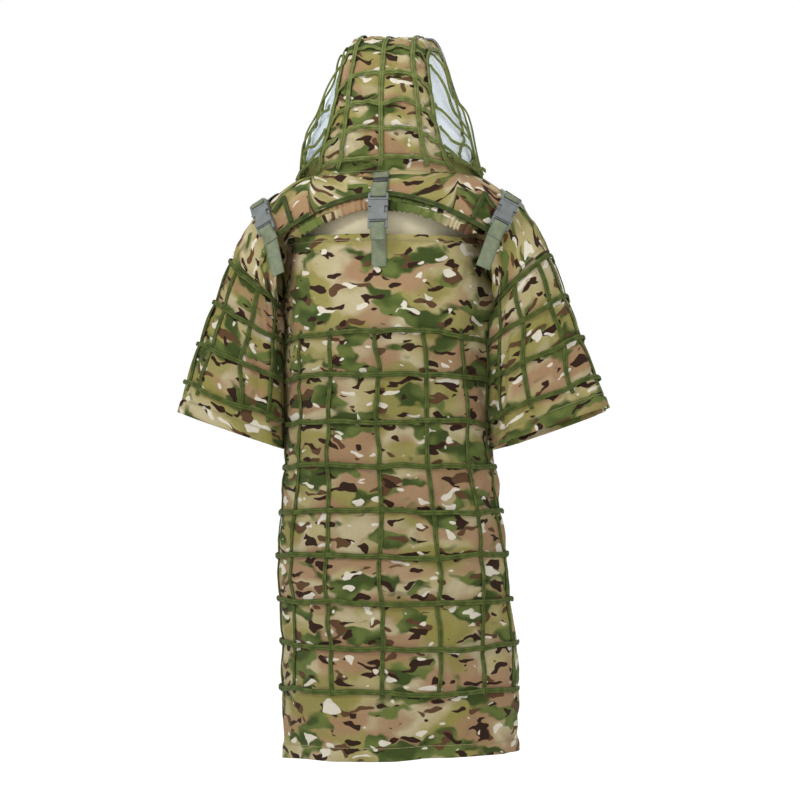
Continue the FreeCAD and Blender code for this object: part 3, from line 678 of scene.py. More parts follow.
def mesh_material(name, rgb, alpha):
    """Fine see-through net."""
    m = Nodes(name, 0.7, Specular_IOR_Level=0.2, Alpha=alpha)
    weave = m.weave(m.uv(), 0.0022)
    m.base(m.ramp(weave, [(0.1, (rgb[0] - 26, rgb[1] - 24, rgb[2] - 20)), (0.7, rgb)]))
    m.bump(weave, 0.3, 0.0006)
    return m.material


# Three copies of one print with painted shade: the last two numbers darken each copy, the sleeves most and
# the low back more than its top.
camo = [
    camo_material("camo_back", (0.2, 0.4, 0.0), 0.8, 0.66),
    camo_material("camo_hood", (2.7, 1.1, 0.0), 0.82, 0.82),
    camo_material("camo_sleeve", (4.9, 2.3, 0.0), 0.72, 0.66),
]
tape_green = tape_material("net_tape", (80, 90, 42), (57, 67, 28), 0.0042)
hood_tape = tape_material("hood_tape", (112, 120, 68), (86, 96, 48), 0.0042)
edge_green = tape_material("edge_tape", (72, 82, 42), (52, 62, 30), 0.0045)
webbing_green = webbing_material("webbing", (116, 124, 100), (98, 106, 84))
webbing_tan = webbing_material("webbing_side", (146, 148, 126), (126, 132, 108))
liner_cloth = plain_cloth("liner", (196, 187, 160), (186, 177, 148), 0.0016)
gusset_cloth = plain_cloth("gusset", (116, 116, 66), (98, 99, 54))
elastic_cloth = plain_cloth("elastic", (70, 72, 58), (58, 60, 46))
hem_thread = plain_cloth("thread", (150, 144, 110), (120, 118, 84))
buckle_grey = plastic_material("buckle", (98, 103, 102), (82, 88, 87), 0.42)
black_plastic = plastic_material("adjuster", (46, 49, 50), (34, 37, 38), 0.4)
side_mesh = mesh_material("hood_mesh", (212, 222, 226), 0.5)
wire_finish = Nodes("brim_wire", 0.35, Metallic=1.0)
wire_grain = wire_finish.noise(wire_finish.add("TexCoord", "Object"), 300.0)
wire_finish.base(wire_finish.ramp(wire_grain, [(0.3, (70, 74, 80)), (0.7, (104, 108, 114))]))
steel = wire_finish.material


# ---- back panel and tail: one hanging cloth ----
def pillow(place):
    """0 on whole numbers and 1 half way between them."""
    return np.abs(np.sin(np.pi * place)) ** 0.8


def back_drape(u, z):
    """How far the cloth stands off its form, in millimetres, at u around and z up."""
    low_part = ramp(-z, 420.0, 950.0)
    netted = ramp(-z, 225.0, 300.0)
    rows = (z - FIRST_ROW) / NET_PITCH
    cells = 0.55 + 0.45 * field(u / 74.0, rows, 3)
    puff = 3.4 * netted * pillow(rows) * cells
    folds = (2.0 + 5.0 * low_part) * field(u / 54.0, z / 400.0, 5)
    broad = 3.0 * field(u / 130.0 + 9, z / 210.0, 6)
    sway = 2.6 * field(u / 30.0 + 0.012 * z, z / 64.0, 7)
    wrinkles = 1.5 * field(u / 15.0 + z / 70.0, z / 27.0 + u / 60.0, 8) + 0.5 * field(u / 8.0, z / 9.0, 9)
    creases = 0.0
    for height, left, right, depth in ((-738.0, -75.0, 75.0, 1.6), (-868.0, -150.0, 110.0, 1.9)):
        within = ramp(u, left, left + 25) * (1 - ramp(u, right - 25, right))
        bend = height + 2.5 * field(u / 40.0, height, 10)
        creases = creases - depth * within * np.exp(-(((z - bend) / 2.6) ** 2))
    return puff + folds + broad + sway + wrinkles + creases


def back_grid():
    between = np.linspace(PANEL_TOP - 4, TAIL_HEM + 3, 380)
    heights = np.concatenate([[PANEL_TOP, PANEL_TOP - 1.5], between, [TAIL_HEM]])
    shares = np.linspace(-1, 1, 190)
    z, share = np.meshgrid(heights, shares, indexing="ij")
    angle = share * (PANEL_REACH + 2.0 * ramp(-z, 480.0, 700.0))
    base = torso_point(z, angle, 2.2)
    across = np.linalg.norm(np.diff(base, axis=1), axis=-1)
    u = np.concatenate([np.zeros((len(heights), 1)), np.cumsum(across, 1)], 1)
    u = u - u[:, 95:96]
    lift = back_drape(u, z)
    lift = lift * (0.35 + 0.65 * ramp(-z, 101.0, 175.0))
    hem_fold = 1.6 * (1 - ramp(PANEL_TOP - z, 9.0, 13.0)) + 1.6 * (1 - ramp(z - TAIL_HEM, 20.0, 24.0))
    edge = ramp(np.abs(share), 0.965, 0.985) * 1.2
    curl = -10.0 * ramp(np.abs(share), 0.93, 1.0) * (0.4 + 0.6 * field(z / 46.0, share, 12))
    under_arm = ramp(-z, 150.0, 200.0) * (1 - ramp(-z, 310.0, 440.0)) * ramp(np.abs(share), 0.78, 0.97)
    curl = curl * (1 - under_arm) + under_arm * np.where(share < 0, 15.0, 7.0)
    turn = np.radians(angle)
    out = np.stack([np.sin(turn), np.cos(turn), 0 * turn], -1)
    points = base + out * (lift + hem_fold + edge + curl)[..., None]
    drop = 7.0 + 3.0 * field(share * 4.0, 0, 14) - 5.0 * share - 10.0 * np.maximum(share, 0.0) ** 3
    tilt = (4.0 * share + 5.0 * (np.abs(share) ** 3)) * (1 - ramp(-z, 101.0, 160.0))
    points[..., 2] += drop * ramp(-z, 900.0, 966.0) + tilt
    return points


back = Cloth("back_cloth", back_grid(), camo[0], (0.0, 0.0, -500.0), 1.4)
BACK_SPAN = PANEL_TOP - TAIL_HEM


def back_at(z, share):
    return back.at((PANEL_TOP - np.asarray(z, float)) / BACK_SPAN, (np.asarray(share, float) + 1) / 2)


def lifted(place, height):
    """Positions moved off their cloth, with their normals."""
    position, normal = place
    return position + normal * np.asarray(height)[:, None], normal


def net_path(place, ties, low, high, seed):
    """Lift a tape off its cloth between its ties. ties counts them along the tape."""
    return lifted(place, low + (high - low) * pillow(ties) * (0.6 + 0.4 * field(ties, 0, seed)))


def angle_share(place):
    """Place across the cloth, from -1 to 1, whose arc is this share of the whole."""
    return place * (1.0 + 0.05 * (1 - abs(place)))


def row_height(i, share):
    wave = 3.2 * field(share * 3.4, i, 21) + 2.2 * field(share * 7.0, i, 22)
    return FIRST_ROW - NET_PITCH * i - ROW_SAG[i] * share**2 + wave


def column_share(k, z):
    rows = (FIRST_ROW - z) / NET_PITCH
    return angle_share(COLUMN_PLACES[k]) + 0.018 * field(rows * 1.1, k, 31) + 0.008 * field(rows * 2.6, k, 32)


row_paths, column_paths, tie_paths = [], [], []
for i in range(ROW_COUNT):
    share = np.linspace(-ROW_SPAN, ROW_SPAN, 61)
    row_paths.append(net_path(back_at(row_height(i, share), share), share * 3.45 + 0.5, 2.6, 5.4, 23 + i))
    # A tie goes over each crossing.
    for k, place in enumerate(COLUMN_PLACES):
        z = float(row_height(i, angle_share(place)))
        span = np.linspace(-5.5, 5.5, 6)
        hump = 2.4 + 3.0 * np.cos(span / 5.5 * np.pi / 2)
        tie_paths.append(lifted(back_at(z + span, float(column_share(k, z)) + 0 * span), hump))
for k, place in enumerate(COLUMN_PLACES):
    z = np.linspace(FIRST_ROW + 5, FIRST_ROW - NET_PITCH * (ROW_COUNT - 1) - 5, 120)
    high = 0.9 if abs(place) > 0.8 else 2.4
    spot = back_at(z, column_share(k, z))
    column_paths.append(net_path(spot, (FIRST_ROW - z) / NET_PITCH, 0.4, high, 33 + k))
back_rows = ribbons("back_net_row_tapes", row_paths, tape_green, TAPE_WIDTH + 0.6, 2.2)
back_columns = ribbons("back_net_column_tapes", column_paths, tape_green, TAPE_WIDTH - 0.6, 2.0)
back_ties = ribbons("back_net_ties", tie_paths, tape_green, TAPE_WIDTH - 1.0, 1.6, step=2.0)

z, share = np.meshgrid(np.linspace(LINER_TOP, LINER_BOTTOM, 70), np.linspace(-1, 1, 60), indexing="ij")
lift = -10.5 + 1.4 * field(share * 5, z / 70.0, 41) + 0.5 * field(share * 14, z / 22.0, 42)
liner_grid = torso_point(z, share * LINER_REACH, lift)
liner = Cloth("back_liner_cloth", liner_grid, liner_cloth, (0, 0, -250), 0.9)


# ---- shoulders ----
def on_yoke_back(point):
    return abs(point[0]) >= YOKE_ARC_HALF or point[2] >= yoke_arc(point[0])


def on_bib(point):
    return abs(point[0]) >= YOKE_ARC_HALF or point[2] >= BIB_BOTTOM


def shoulder_grid(shares, first, last, count, seed, lapped=0.0, deep=2.4):
    """Grid over the shoulders between two angles, with soft folds."""
    starts = np.array([first(share) for share in shares])
    ends = np.array([last(share) for share in shares])
    part = np.linspace(0, 1, count)[:, None]
    angle = starts[None, :] + (ends - starts)[None, :] * part
    share = np.broadcast_to(shares[None, :], angle.shape)
    points = shoulder_point(share, angle)
    steps = np.linalg.norm(np.diff(points, axis=0), axis=-1)
    down = np.cumsum(np.concatenate([np.zeros((1, len(shares))), steps]), 0)
    across = share * SHOULDER_LENGTH
    calm = ramp(down, 2.0, 16.0) * (0.35 + 0.65 * (1 - ramp(np.abs(share), 0.93, 1.0)))
    folds = field(across / 60.0 + down / 90.0, down / 120.0, seed)
    small = 1.5 * field(across / 22.0, down / 30.0 - across / 70.0, seed + 1)
    tiny = field(across / 10.0, down / 12.0, seed + 2)
    lift = (deep * (folds + 0.35) + 1.1 * small + 0.35 * tiny) * calm
    edge = 1.4 * (1 - ramp(down[-1:] - down, 5.0, 8.0))
    normals = grid_normals(points)
    outward = np.sum(normals * (points - np.array([0.0, 0.0, -110.0])), -1)
    normals = np.where(outward[..., None] < 0, -normals, normals)
    lap = lapped * (1 - ramp(down, 3.0, 10.0))
    return points + normals * (lift + edge + lap)[..., None]


yoke_grid = shoulder_grid(
    np.linspace(-1.0, 1.0, 171),
    lambda s: neck_angle(s, 1) - 0.8,
    lambda s: angle_where(s, on_yoke_back, 1),
    56,
    51,
    1.5,
)
yoke = Cloth("yoke_cloth", yoke_grid, camo[1], (0, 0, -110), 1.3)
bibs = {}
for name, side in SIDES:
    grid = shoulder_grid(
        side * np.linspace(BIB_START, 1.0, 60),
        lambda s: neck_angle(s, -1),
        lambda s: -angle_where(s, on_bib, -1),
        60,
        55 + side,
    )
    bibs[name] = Cloth("front_bib_cloth_" + name, grid, camo[0], (0, 0, -110), 1.3, shift=(side * 0.7, 0.3))


def surface_path(spots, lift):
    points, normals = [], []
    for share, angle in spots:
        normal = shoulder_normal(share, angle)
        normals.append(normal)
        points.append(shoulder_point(share, angle) + normal * lift)
    return np.array(points), np.array(normals)


def arc_spots(drop, half, steps=30):
    places = np.linspace(-half, half, steps + 1)
    return [on_shoulders(x if abs(x) > 1 else 1.0, yoke_arc(x, drop)) for x in places]


cross_paths = [surface_path(arc_spots(-3.5, EDGE_TAPE_HALF), 2.4)]
CROSS_TAPES = [
    [(167.0, -32.0), (175.0, -45.0), (184.0, -58.0)],
    [(168.0, -32.0), (159.0, -54.0), (151.0, -76.0)],
]
for side in (-1, 1):
    for line in CROSS_TAPES:
        cross_paths.append(surface_path([on_shoulders(side * x, z) for x, z in line], 4.2))
yoke_tape = ribbons("yoke_edge_tape", cross_paths, edge_green, 9.0, 2.4)

# Gathered casing: a puckered band below the yoke's edge.
casing_line, casing_facing = surface_path(arc_spots(CASING_DROP, CASING_HALF, 40), -3.4)
casing_line = smoothed(np.concatenate([casing_line, casing_facing], 1), CASING_STEP)
casing_line, casing_facing = casing_line[:, :3], unit(casing_line[:, 3:])
casing_along = unit(np.gradient(casing_line, axis=0))
casing_down = unit(np.cross(casing_facing, casing_along))
casing_down = np.where(casing_down[:, 2:3] > 0, -casing_down, casing_down)
run = np.arange(len(casing_line)) * CASING_STEP
turns = np.linspace(0, 2 * np.pi, 20, endpoint=False)
pleat = np.sin(run / CASING_PLEAT * 2 * np.pi + 3.4 * field(run / 16.0, 0, 61))
pleat = pleat * (0.6 + 0.4 * field(run / 10.0, 0, 62)) + 0.5 * field(run / 4.2, 0, 64)
taper = ramp(run, 0.0, 16.0) * ramp(run[-1] - run, 0.0, 16.0)
half_high = (11.4 + 1.6 * field(run / 21.0, 0, 63)) * (0.12 + 0.88 * taper)
face = np.cos(turns)[None, :]
edge_down = np.sin(turns)[None, :]
waist = 1.0 - 0.28 * np.exp(-(((edge_down - 0.35) / 0.25) ** 2))
thick = 3.0 * waist * np.ones((len(run), 1))
puckers = 2.6 * pleat[:, None] * (0.6 + 0.4 * np.abs(edge_down)) + 0.4
bulge = np.where(face > 0, 1.0, 0.2) * puckers * taper[:, None]
depth = face * thick + bulge * np.abs(face)
fall = edge_down * (half_high[:, None] + np.where(edge_down > 0.2, 2.6 * (pleat * taper)[:, None], 0.0))
casing_grid = casing_line[:, None] + casing_facing[:, None] * depth[..., None]
casing_grid = casing_grid + casing_down[:, None] * fall[..., None]
casing = tube_object("casing_cloth", casing_grid, camo[1])

elastic_line = surface_path(arc_spots(CASING_DROP, ELASTIC_HALF), -3.6)
elastic = ribbons("vent_elastic_band", [elastic_line], elastic_cloth, 9.0, 0.7, FLAT_SECTION)


# ---- sleeves ----
SLEEVE_SEAM = 236.0
SLEEVE_SHARES = np.concatenate([[-0.035, -0.02, -0.006, 0.006], np.linspace(0.02, 0.985, 96), [1.0]])


def sleeve_grid(seed, inner_fill):
    """Left sleeve in rings, from under the yoke to its hem. inner_fill widens it towards the body."""
    angles = SLEEVE_SEAM + np.linspace(0, 360, 144, endpoint=False)
    share, angle = np.meshgrid(SLEEVE_SHARES, angles, indexing="ij")
    length = share * SLEEVE_LENGTH
    turn = np.radians(angle)
    x, y = np.cos(turn) * 1.3, np.sin(turn) * 1.3
    folds = field(x * 1.9 + 5, y * 1.9 + share * 1.1, seed) * (2.0 + 5.0 * share)
    drape = field(x * 3.1 + share, y * 3.1 + 3 - share * 0.6, seed + 1) * (3.0 + 2.6 * share)
    small = field(x * 7.0 + share * 2.0, y * 7.0 + share * 5.0, seed + 2) * 2.1
    tiny = field(x * 17.0 + share * 3, y * 17.0 + share * 16.0, seed + 3) * 0.7
    puff = 2.2 * pillow(counted(share, SLEEVE_MARKS)) * (1 - ramp(share, 0.84, 0.9))
    calm = ramp(share, 0.0, 0.12)
    seam = -1.6 * (1 - ramp(length, -2.0, 4.0)) - 0.8 * np.exp(-(((length - 11.0) / 2.5) ** 2))
    hem = 1.3 * ramp(length, 268.0, 270.5) - 1.1 * np.exp(-(((length - 267.0) / 1.6) ** 2))
    lift = (folds + drape + small + tiny + puff) * calm + seam + hem - 1.0
    inner_side = np.exp(-(((angle % 360.0 - 172.0) / 40.0) ** 2)) * ramp(share, 0.02, 0.16)
    lift = lift + inner_fill * inner_side * (1.0 - 0.66 * share)
    points = sleeve_point(share, angle, 0.0)
    under = shoulder_point(1.0 + np.minimum(share, 0.0) * 0.9, angle, -0.6)
    points = np.where(share[..., None] < 0.0, under, points)
    centre = (sleeve_point(share, angle * 0.0) + sleeve_point(share, angle * 0.0 + 180.0)) / 2
    out = unit(points - centre)
    return points + out * lift[..., None]


def sleeve_at(sleeve, share, angle):
    index = np.interp(share, SLEEVE_SHARES, np.linspace(0, 1, len(SLEEVE_SHARES)))
    return sleeve.at(index, (np.asarray(angle) - SLEEVE_SEAM) % 360.0 / 357.5)


sleeves = {}
sleeve_nets = {}
for name, side in SIDES:
    grid = mirrored(sleeve_grid(71 if side > 0 else 81, 9.0 if side > 0 else 23.0), side)
    middle = (side * 240.0, 0.0, -280.0)
    shift = (0.35, 1.9) if side > 0 else (1.6, 0.8)
    sleeve = Cloth("sleeve_cloth_" + name, grid, camo[2], middle, 1.4, closed=True, shift=shift)
    sleeves[name] = sleeve
    rows = []
    for i, share in enumerate(SLEEVE_ROWS):
        angle = np.linspace(-30.0, 166.0, 60)
        wave = 0.012 * field(angle / 24.0, i, 91 + side) + 0.006 * field(angle / 11.0, 0, 93)
        place = sleeve_at(sleeve, np.clip(share + wave, 0.012, 1.0), angle)
        rows.append(net_path(place, angle / 34.0 + 0.2, 2.4, 5.2, 94 + i))
    sleeve_nets[name + "_rows"] = ribbons("sleeve_net_rows_" + name, rows, tape_green, TAPE_WIDTH, 2.2)
    columns = []
    for k, angle in enumerate(SLEEVE_COLUMNS + [-6.0]):
        share = np.linspace(0.02, 0.875, 60)
        place = sleeve_at(sleeve, share, angle + 5.0 * field(share * 5.0, k, 97 + side))
        columns.append(net_path(place, counted(share, SLEEVE_MARKS), 0.5, 2.8, 98 + k))
    width = TAPE_WIDTH - 0.5
    sleeve_nets[name + "_columns"] = ribbons("sleeve_net_columns_" + name, columns, tape_green, width, 2.0)


# ---- hood ----
def crossings(place):
    """How many of the hood's net columns lie between its middle and this share of the seam's distance."""
    return np.interp(np.abs(place), HOOD_CROSSINGS, HOOD_CROSSING_COUNTS)


def hood_drape(x, share, seed):
    height = hood_line(share)[..., 1]
    rows = counted(height, HOOD_MARKS)
    columns = crossings(x / hood_seam(share))
    puff = 3.4 * pillow(rows) * pillow(columns) * ramp(share, 0.02, 0.1)
    folds = 3.4 * field(x / 48.0 + 4, share * 7.0, seed) + 1.6 * field(x / 22.0, share * 15.0, seed + 1)
    tiny = 0.5 * field(x / 9.0, share * 42.0, seed + 2)
    sag = 2.2 * np.abs(columns % 1.0 - 0.5)
    swag = 2.6 * np.sin(2 * np.pi * (1.5 * rows - sag) + 2.0 * field(x / 60.0, share * 9.0, seed + 3))
    folds = folds + swag * pillow(columns) * (0.55 + 0.45 * field(x / 50.0, share * 6.0, seed + 4))
    return puff + (folds + tiny) * (0.4 + 0.6 * ramp(share, 0.0, 0.12))


def hood_grid(x_at, places, shares, seed, deep=1.0):
    share, place = np.meshgrid(shares, places, indexing="ij")
    x = x_at(place, share)
    base = hood_point(x, share)
    out = unit(base - np.array([0.0, HOOD_PIVOT_Y, 40.0]))
    return base + out * (deep * hood_drape(x, share, seed))[..., None]


strip_shares = np.concatenate([[-0.085, -0.078], np.linspace(-0.07, 1.0, 190)])
strip_places = np.linspace(-1.0, 1.0, 92)


def strip_x(place, share):
    return place * hood_seam(np.maximum(share, 0.0))


hood_middle = (0.0, HOOD_PIVOT_Y, 60.0)
strip_grid = hood_grid(strip_x, strip_places, strip_shares, 111)
hood_strip = Cloth("hood_strip_cloth", strip_grid, camo[1], hood_middle, 1.3, shift=(0.9, 0.25))


def strip_at(place, share):
    index = np.interp(share, strip_shares, np.arange(len(strip_shares)) / (len(strip_shares) - 1.0))
    return hood_strip.at(index, (np.asarray(place) + 1) / 2)


hood_rows = []
for i, height in enumerate(HOOD_ROW_HEIGHTS):
    place = np.linspace(-0.985, 0.985, 61)
    columns = crossings(place)
    bow = (0.0 if i == 0 else 5.0) * pillow(columns) * (np.abs(place) < 0.64)
    slope = -4.0 * ramp(np.abs(place), 0.6, 1.0)
    wave = 1.8 * field(place * 6.0, i, 121)
    shares = np.linspace(0.0, 0.8, 400)
    share = np.interp(height + bow + slope + wave, hood_line(shares)[:, 1], shares)
    hood_rows.append(net_path(strip_at(place, share), columns, 1.2, 4.4, 122 + i))
hood_row_tapes = ribbons("hood_net_row_tapes", hood_rows, hood_tape, TAPE_WIDTH - 0.4, 2.2, step=3.0)
hood_columns = []
for k, place in enumerate(HOOD_COLUMN_SHARES):
    share = np.linspace(0.012, 0.96, 80)
    spot = strip_at(place + 0.02 * field(share * 9.0, k, 131), share)
    hood_columns.append(net_path(spot, counted(hood_line(share)[:, 1], HOOD_MARKS), 2.4, 3.8, 132 + k))
hood_column_tapes = ribbons("hood_net_column_tapes", hood_columns, hood_tape, TAPE_WIDTH, 2.2, step=3.0)

hood_sides, hood_gussets, hood_cords = {}, {}, {}
for name, side in SIDES:

    def side_x(place, share):
        near = hood_seam(np.maximum(share, 0.0)) - 1.0
        return side * (near + (HOOD_SIDE - near) * place)

    gusset_shares = np.linspace(-0.05, GUSSET_END + 0.01, 26)
    grid = hood_grid(side_x, np.linspace(0, 1, 26), gusset_shares, 141 + side, 0.35)
    hood_gussets[name] = Cloth("hood_gusset_" + name, grid, gusset_cloth, hood_middle, 1.1)
    net_shares = np.linspace(GUSSET_END - 0.02, 1.0, 80)
    grid = hood_grid(side_x, np.linspace(0, 1, 36), net_shares, 145 + side, 0.5)
    fall = np.clip(np.abs(grid[..., 1]) / 108.0, 0.0, 0.98)
    shoulder_height = -108.5 + 117.5 * (1.0 - fall**FULLNESS) ** (1.0 / FULLNESS)
    low_edge = ramp(np.linspace(0, 1, 36), 0.72, 1.0)[None, :] * ramp(net_shares, GUSSET_END, 0.3)[:, None]
    grid[..., 2] -= low_edge * (grid[..., 2] - shoulder_height - 3.0)
    net = hood_sides[name] = Cloth("hood_side_mesh_" + name, grid, side_mesh, hood_middle, 0.5)
    cords = []
    for place, sway, beats in ((0.96, 0.03, 5.0), (0.52, 0.16, 2.5)):
        share = np.linspace(0.0, 0.86, 80)
        wander = sway * np.sin(share * np.pi * beats + side) + 0.03 * field(share * 9.0, beats, 151 + side)
        bulge = 5.0 + 2.5 * field(share * 8.0, beats, 153 + side)
        cords.append(lifted(net.at(share, np.clip(place + wander, 0.0, 1.0)), bulge))
    for start in (0.6, 0.8):
        place = np.linspace(-0.03, 0.98, 50)
        sag = 0.035 * np.sin(place * np.pi * 3.0 + 9.0 * start)
        cords.append(lifted(net.at(start + sag, place), 5.5 + 2.5 * np.sin(place * np.pi * 5.0 + side)))
    for i, height in enumerate(HOOD_ROW_HEIGHTS):
        start = (share_at_height(height) - GUSSET_END) / (1.0 - GUSSET_END)
        place = np.linspace(-0.04, 1.0, 40)
        sag = -0.03 * np.sin(place * np.pi) + 0.025 * np.sin(place * np.pi * 2.0 + 1.7 * i)
        bulge = 5.0 + 3.5 * np.sin(place * np.pi) + 2.0 * field(place * 4.0, i, 157 + side)
        cords.append(lifted(net.at(start + sag + 0.02 * place, place), bulge))
        angle = np.linspace(0.0, 2.0 * np.pi, 24)
        spot = start + 0.03 + 0.022 * np.cos(angle) + 0.01 * field(angle, i, 159)
        cords.append(lifted(net.at(spot, 0.95 + 0.05 * np.sin(angle)), 9.0 + 4.0 * np.sin(angle)))
    hood_cords[name] = ribbons("hood_side_net_cords_" + name, cords, hood_tape, 5.4, 3.0, step=3.0)

edge = hood_point(np.linspace(14.0 - BRIM_HALF, BRIM_HALF - 14.0, 61), 1.0)
forward = np.array([0.0, -1.0, 0.45]) / math.hypot(1.0, 0.45)
brim_share = np.linspace(0, 1, 12)[:, None, None]
edge_up = unit(edge - np.stack([0 * edge[:, 0], edge[:, 1], 0 * edge[:, 2] + HOOD_BASE + 60], -1))
brim_width = BRIM_WIDTH * (1.0 - 0.92 * ramp(np.abs(edge[:, 0]), 62.0, 100.0))[None, :, None]
brim_grid = edge[None] + forward * ((brim_width + 6.0) * brim_share - 5.0)
brim_grid = brim_grid + edge_up[None] * (1.4 * np.sin(brim_share * np.pi) + 1.6 * brim_share - 0.6)
brim = Cloth("hood_brim_cloth", brim_grid, camo[1], (0, -140, 80), 2.2, shift=(2.2, 0.4))
wire_line = edge + forward * (brim_width[0] + 1.2) + edge_up * 1.2
wire = ribbons("hood_brim_wire_line", [(wire_line, edge_up)], steel, 2.6, 2.6, SECTION)


# ---- straps ----
class BuckleFrame:
    """Buckle's own frame: U across, V up the strap and W off the body."""

    def __init__(self, origin, up, normal):
        self.origin = np.asarray(origin, float)
        self.w = unit(np.asarray(normal, float))
        self.v = unit(up - self.w * (up @ self.w))
        self.u = np.cross(self.v, self.w)

    def path(self, line):
        points = [self.origin + self.v * v + self.w * w for v, w in line]
        return np.array(points), self.facing(line)

    def facing(self, line):
        """Outward directions of a strap that starts with its face along W and keeps it through its bends."""
        line = np.array(line, float)
        along = unit(np.gradient(line, axis=0))
        if line[0, 0] < line[1, 0]:
            turned = np.stack([-along[:, 1], along[:, 0]], -1)
        else:
            turned = np.stack([along[:, 1], -along[:, 0]], -1)
        return turned[:, :1] * self.v + turned[:, 1:] * self.w


def on_back(x, z):
    share, angle = on_shoulders(x, z)
    return shoulder_point(share, angle), shoulder_normal(share, angle)


frames = {}
spot, normal = on_back(1.0, -51.0)
middle_normal = unit(np.array([0.0, normal[1], normal[2]]))
middle = np.array([0.0, spot[1], spot[2]]) + middle_normal * BUCKLE_LIFT
frames["centre"] = BuckleFrame(middle, np.array([0.0, 0, 1]), middle_normal)
for name, side in SIDES:
    spot, normal = on_back(side * 198.0, -72.0)
    above, _ = on_back(side * 204.0, -54.0)
    up = unit(above - spot)
    frames[name] = BuckleFrame(spot + normal * BUCKLE_LIFT + up * SOCKET_LENGTH / 2, up, normal)
chest_middle = np.array([17.0, -CHEST_DEPTH, CHEST_HEIGHT])
frames["chest"] = BuckleFrame(chest_middle, np.array([1.0, 0, 0]), np.array([0.0, -1, 0]))

# Strap through the bar of a plug, from its far side to its folded end, as V and W.
PLUG_TURN = [(14.0, -1.6), (9.0, -1.5), (6.9, -0.6), (6.3, 2.0), (6.3, 6.0), (6.9, 8.4)]
PLUG_TURN += [(9.2, 9.4), (14.0, 8.6), (20.0, 4.6), (26.0, 1.3), (34.0, 0.4)]
SOCKET_TURN = [(-31.2 - v, w) for v, w in PLUG_TURN]
# A side plug's strap ends short, because the shoulder's ridge is close.
SIDE_PLUG_TURN = PLUG_TURN[1:7] + [(12.5, 8.4), (16.0, 6.0)]


def strap(name, paths, material, width=WEBBING):
    return ribbons(name, paths, material, width, 1.5, FLAT_SECTION, step=1.6)


def joined(first, second):
    return np.concatenate([first[0], second[0]]), np.concatenate([first[1], second[1]])


def outward_run(local, line):
    """A strap's run in a buckle's frame. Its face starts away from the body."""
    points, facing = local.path(line)
    return points, facing if facing[0] @ local.w > 0 else -facing


def down_middle(heights, lift):
    """A run down the middle of the yoke."""
    points, normals = surface_path([on_shoulders(1.0, z) for z in heights], lift)
    points[:, 0] = 0.0
    return points, normals


straps = {}
centre = frames["centre"]
lead = down_middle((2.0, -8.0, -17.0, -26.0), 2.4)
lead[1][:, 0] = 0.0
lead[0][2:] += centre.w * np.array([[0.8], [2.2]])
upper = joined(lead, outward_run(centre, PLUG_TURN))
tab = down_middle((-1.5, -4.5, -7.5, -10.5), 6.6)
# Painted shadow: a black strip under the end of the tab, where there is only the shade of its fold.
slot = down_middle((-10.0, -12.0, -14.0, -16.5), 6.0)
painted_slot_shadow = ribbons("centre_slot_shadow_strip", [slot], black_plastic, 25.0, 1.0, FLAT_SECTION, step=1.6)
straps["centre_upper"] = strap("centre_upper_webbing", [upper, tab], webbing_green, 26.0)
panel_heights = np.array([-156.0, -146.0, -136.0, -126.0, -116.0, -110.0])
panel_run = lifted(back_at(panel_heights, np.full(6, -0.03)), np.ones(6))
panel_run[0][:, 0] = 0.0
lower = joined(panel_run, outward_run(centre, SOCKET_TURN))
straps["centre_lower"] = strap("centre_lower_webbing", [lower], webbing_green)
for name, side in SIDES:
    local = frames[name]
    at_share, at_angle = on_shoulders(side * 204.0, -40.0)
    lead_angles = np.linspace(-34.0, at_angle - 4.0, 7)
    lead = surface_path([(at_share * (1.0 - 0.0016 * (at_angle - a)), a) for a in lead_angles], 2.6)
    lead[0][-1] += local.w * 2.0
    upper = joined(lead, outward_run(local, SIDE_PLUG_TURN))
    straps[name + "_upper"] = strap(name + "_upper_webbing", [upper], webbing_green)
    end = np.array([172.0, 0.0, -164.0]) if side > 0 else np.array([-169.0, 0.0, -158.0])
    low_line = [(-52.0, -1.6), (-62.0, -2.2), (-74.0, -3.4), (-88.0, -5.0), (-106.0, -7.0)]
    tail, facing = outward_run(local, low_line)
    pull = (end - tail[-1]) * np.array([1.0, 0.0, 1.0]) * (np.linspace(0, 1, len(tail))[:, None] ** 1.5)
    tail, facing = (tail + pull)[::-1], facing[::-1]
    lower = joined((tail, facing), outward_run(local, SOCKET_TURN))
    straps[name + "_lower"] = strap(name + "_lower_webbing", [lower], webbing_green)
CHEST_RUNS = {
    "upper": ([(76.0, -5.0), (60.0, -3.0), (40.0, -1.6), (24.0, -1.6)], PLUG_TURN),
    "lower": ([(-108.0, -5.0), (-92.0, -3.0), (-72.0, -1.6), (-54.0, -1.6)], SOCKET_TURN),
}
for part, (line, turned) in CHEST_RUNS.items():
    run = joined(outward_run(frames["chest"], line), outward_run(frames["chest"], turned))
    straps["chest_" + part] = strap("chest_" + part + "_webbing", [run], webbing_green)

over = []
for side in (-1, 1):
    over.append(surface_path([(side * share, angle) for share, angle in SHOULDER_STRAP], 3.2))
shoulder_webbing = strap("shoulder_webbing", over, webbing_green)
side_webbing = {}
for name, side in SIDES:
    turn = side * (92.0 + 58.0 * np.linspace(0, 1, 9))
    points = torso_point(-246.0 + 78.0 * np.linspace(0, 1, 9), turn, -4.0)
    normals = np.stack([np.sin(np.radians(turn)), np.cos(np.radians(turn)), 0 * turn], -1)
    side_webbing[name] = strap("side_webbing_" + name, [(points, normals)], webbing_tan)


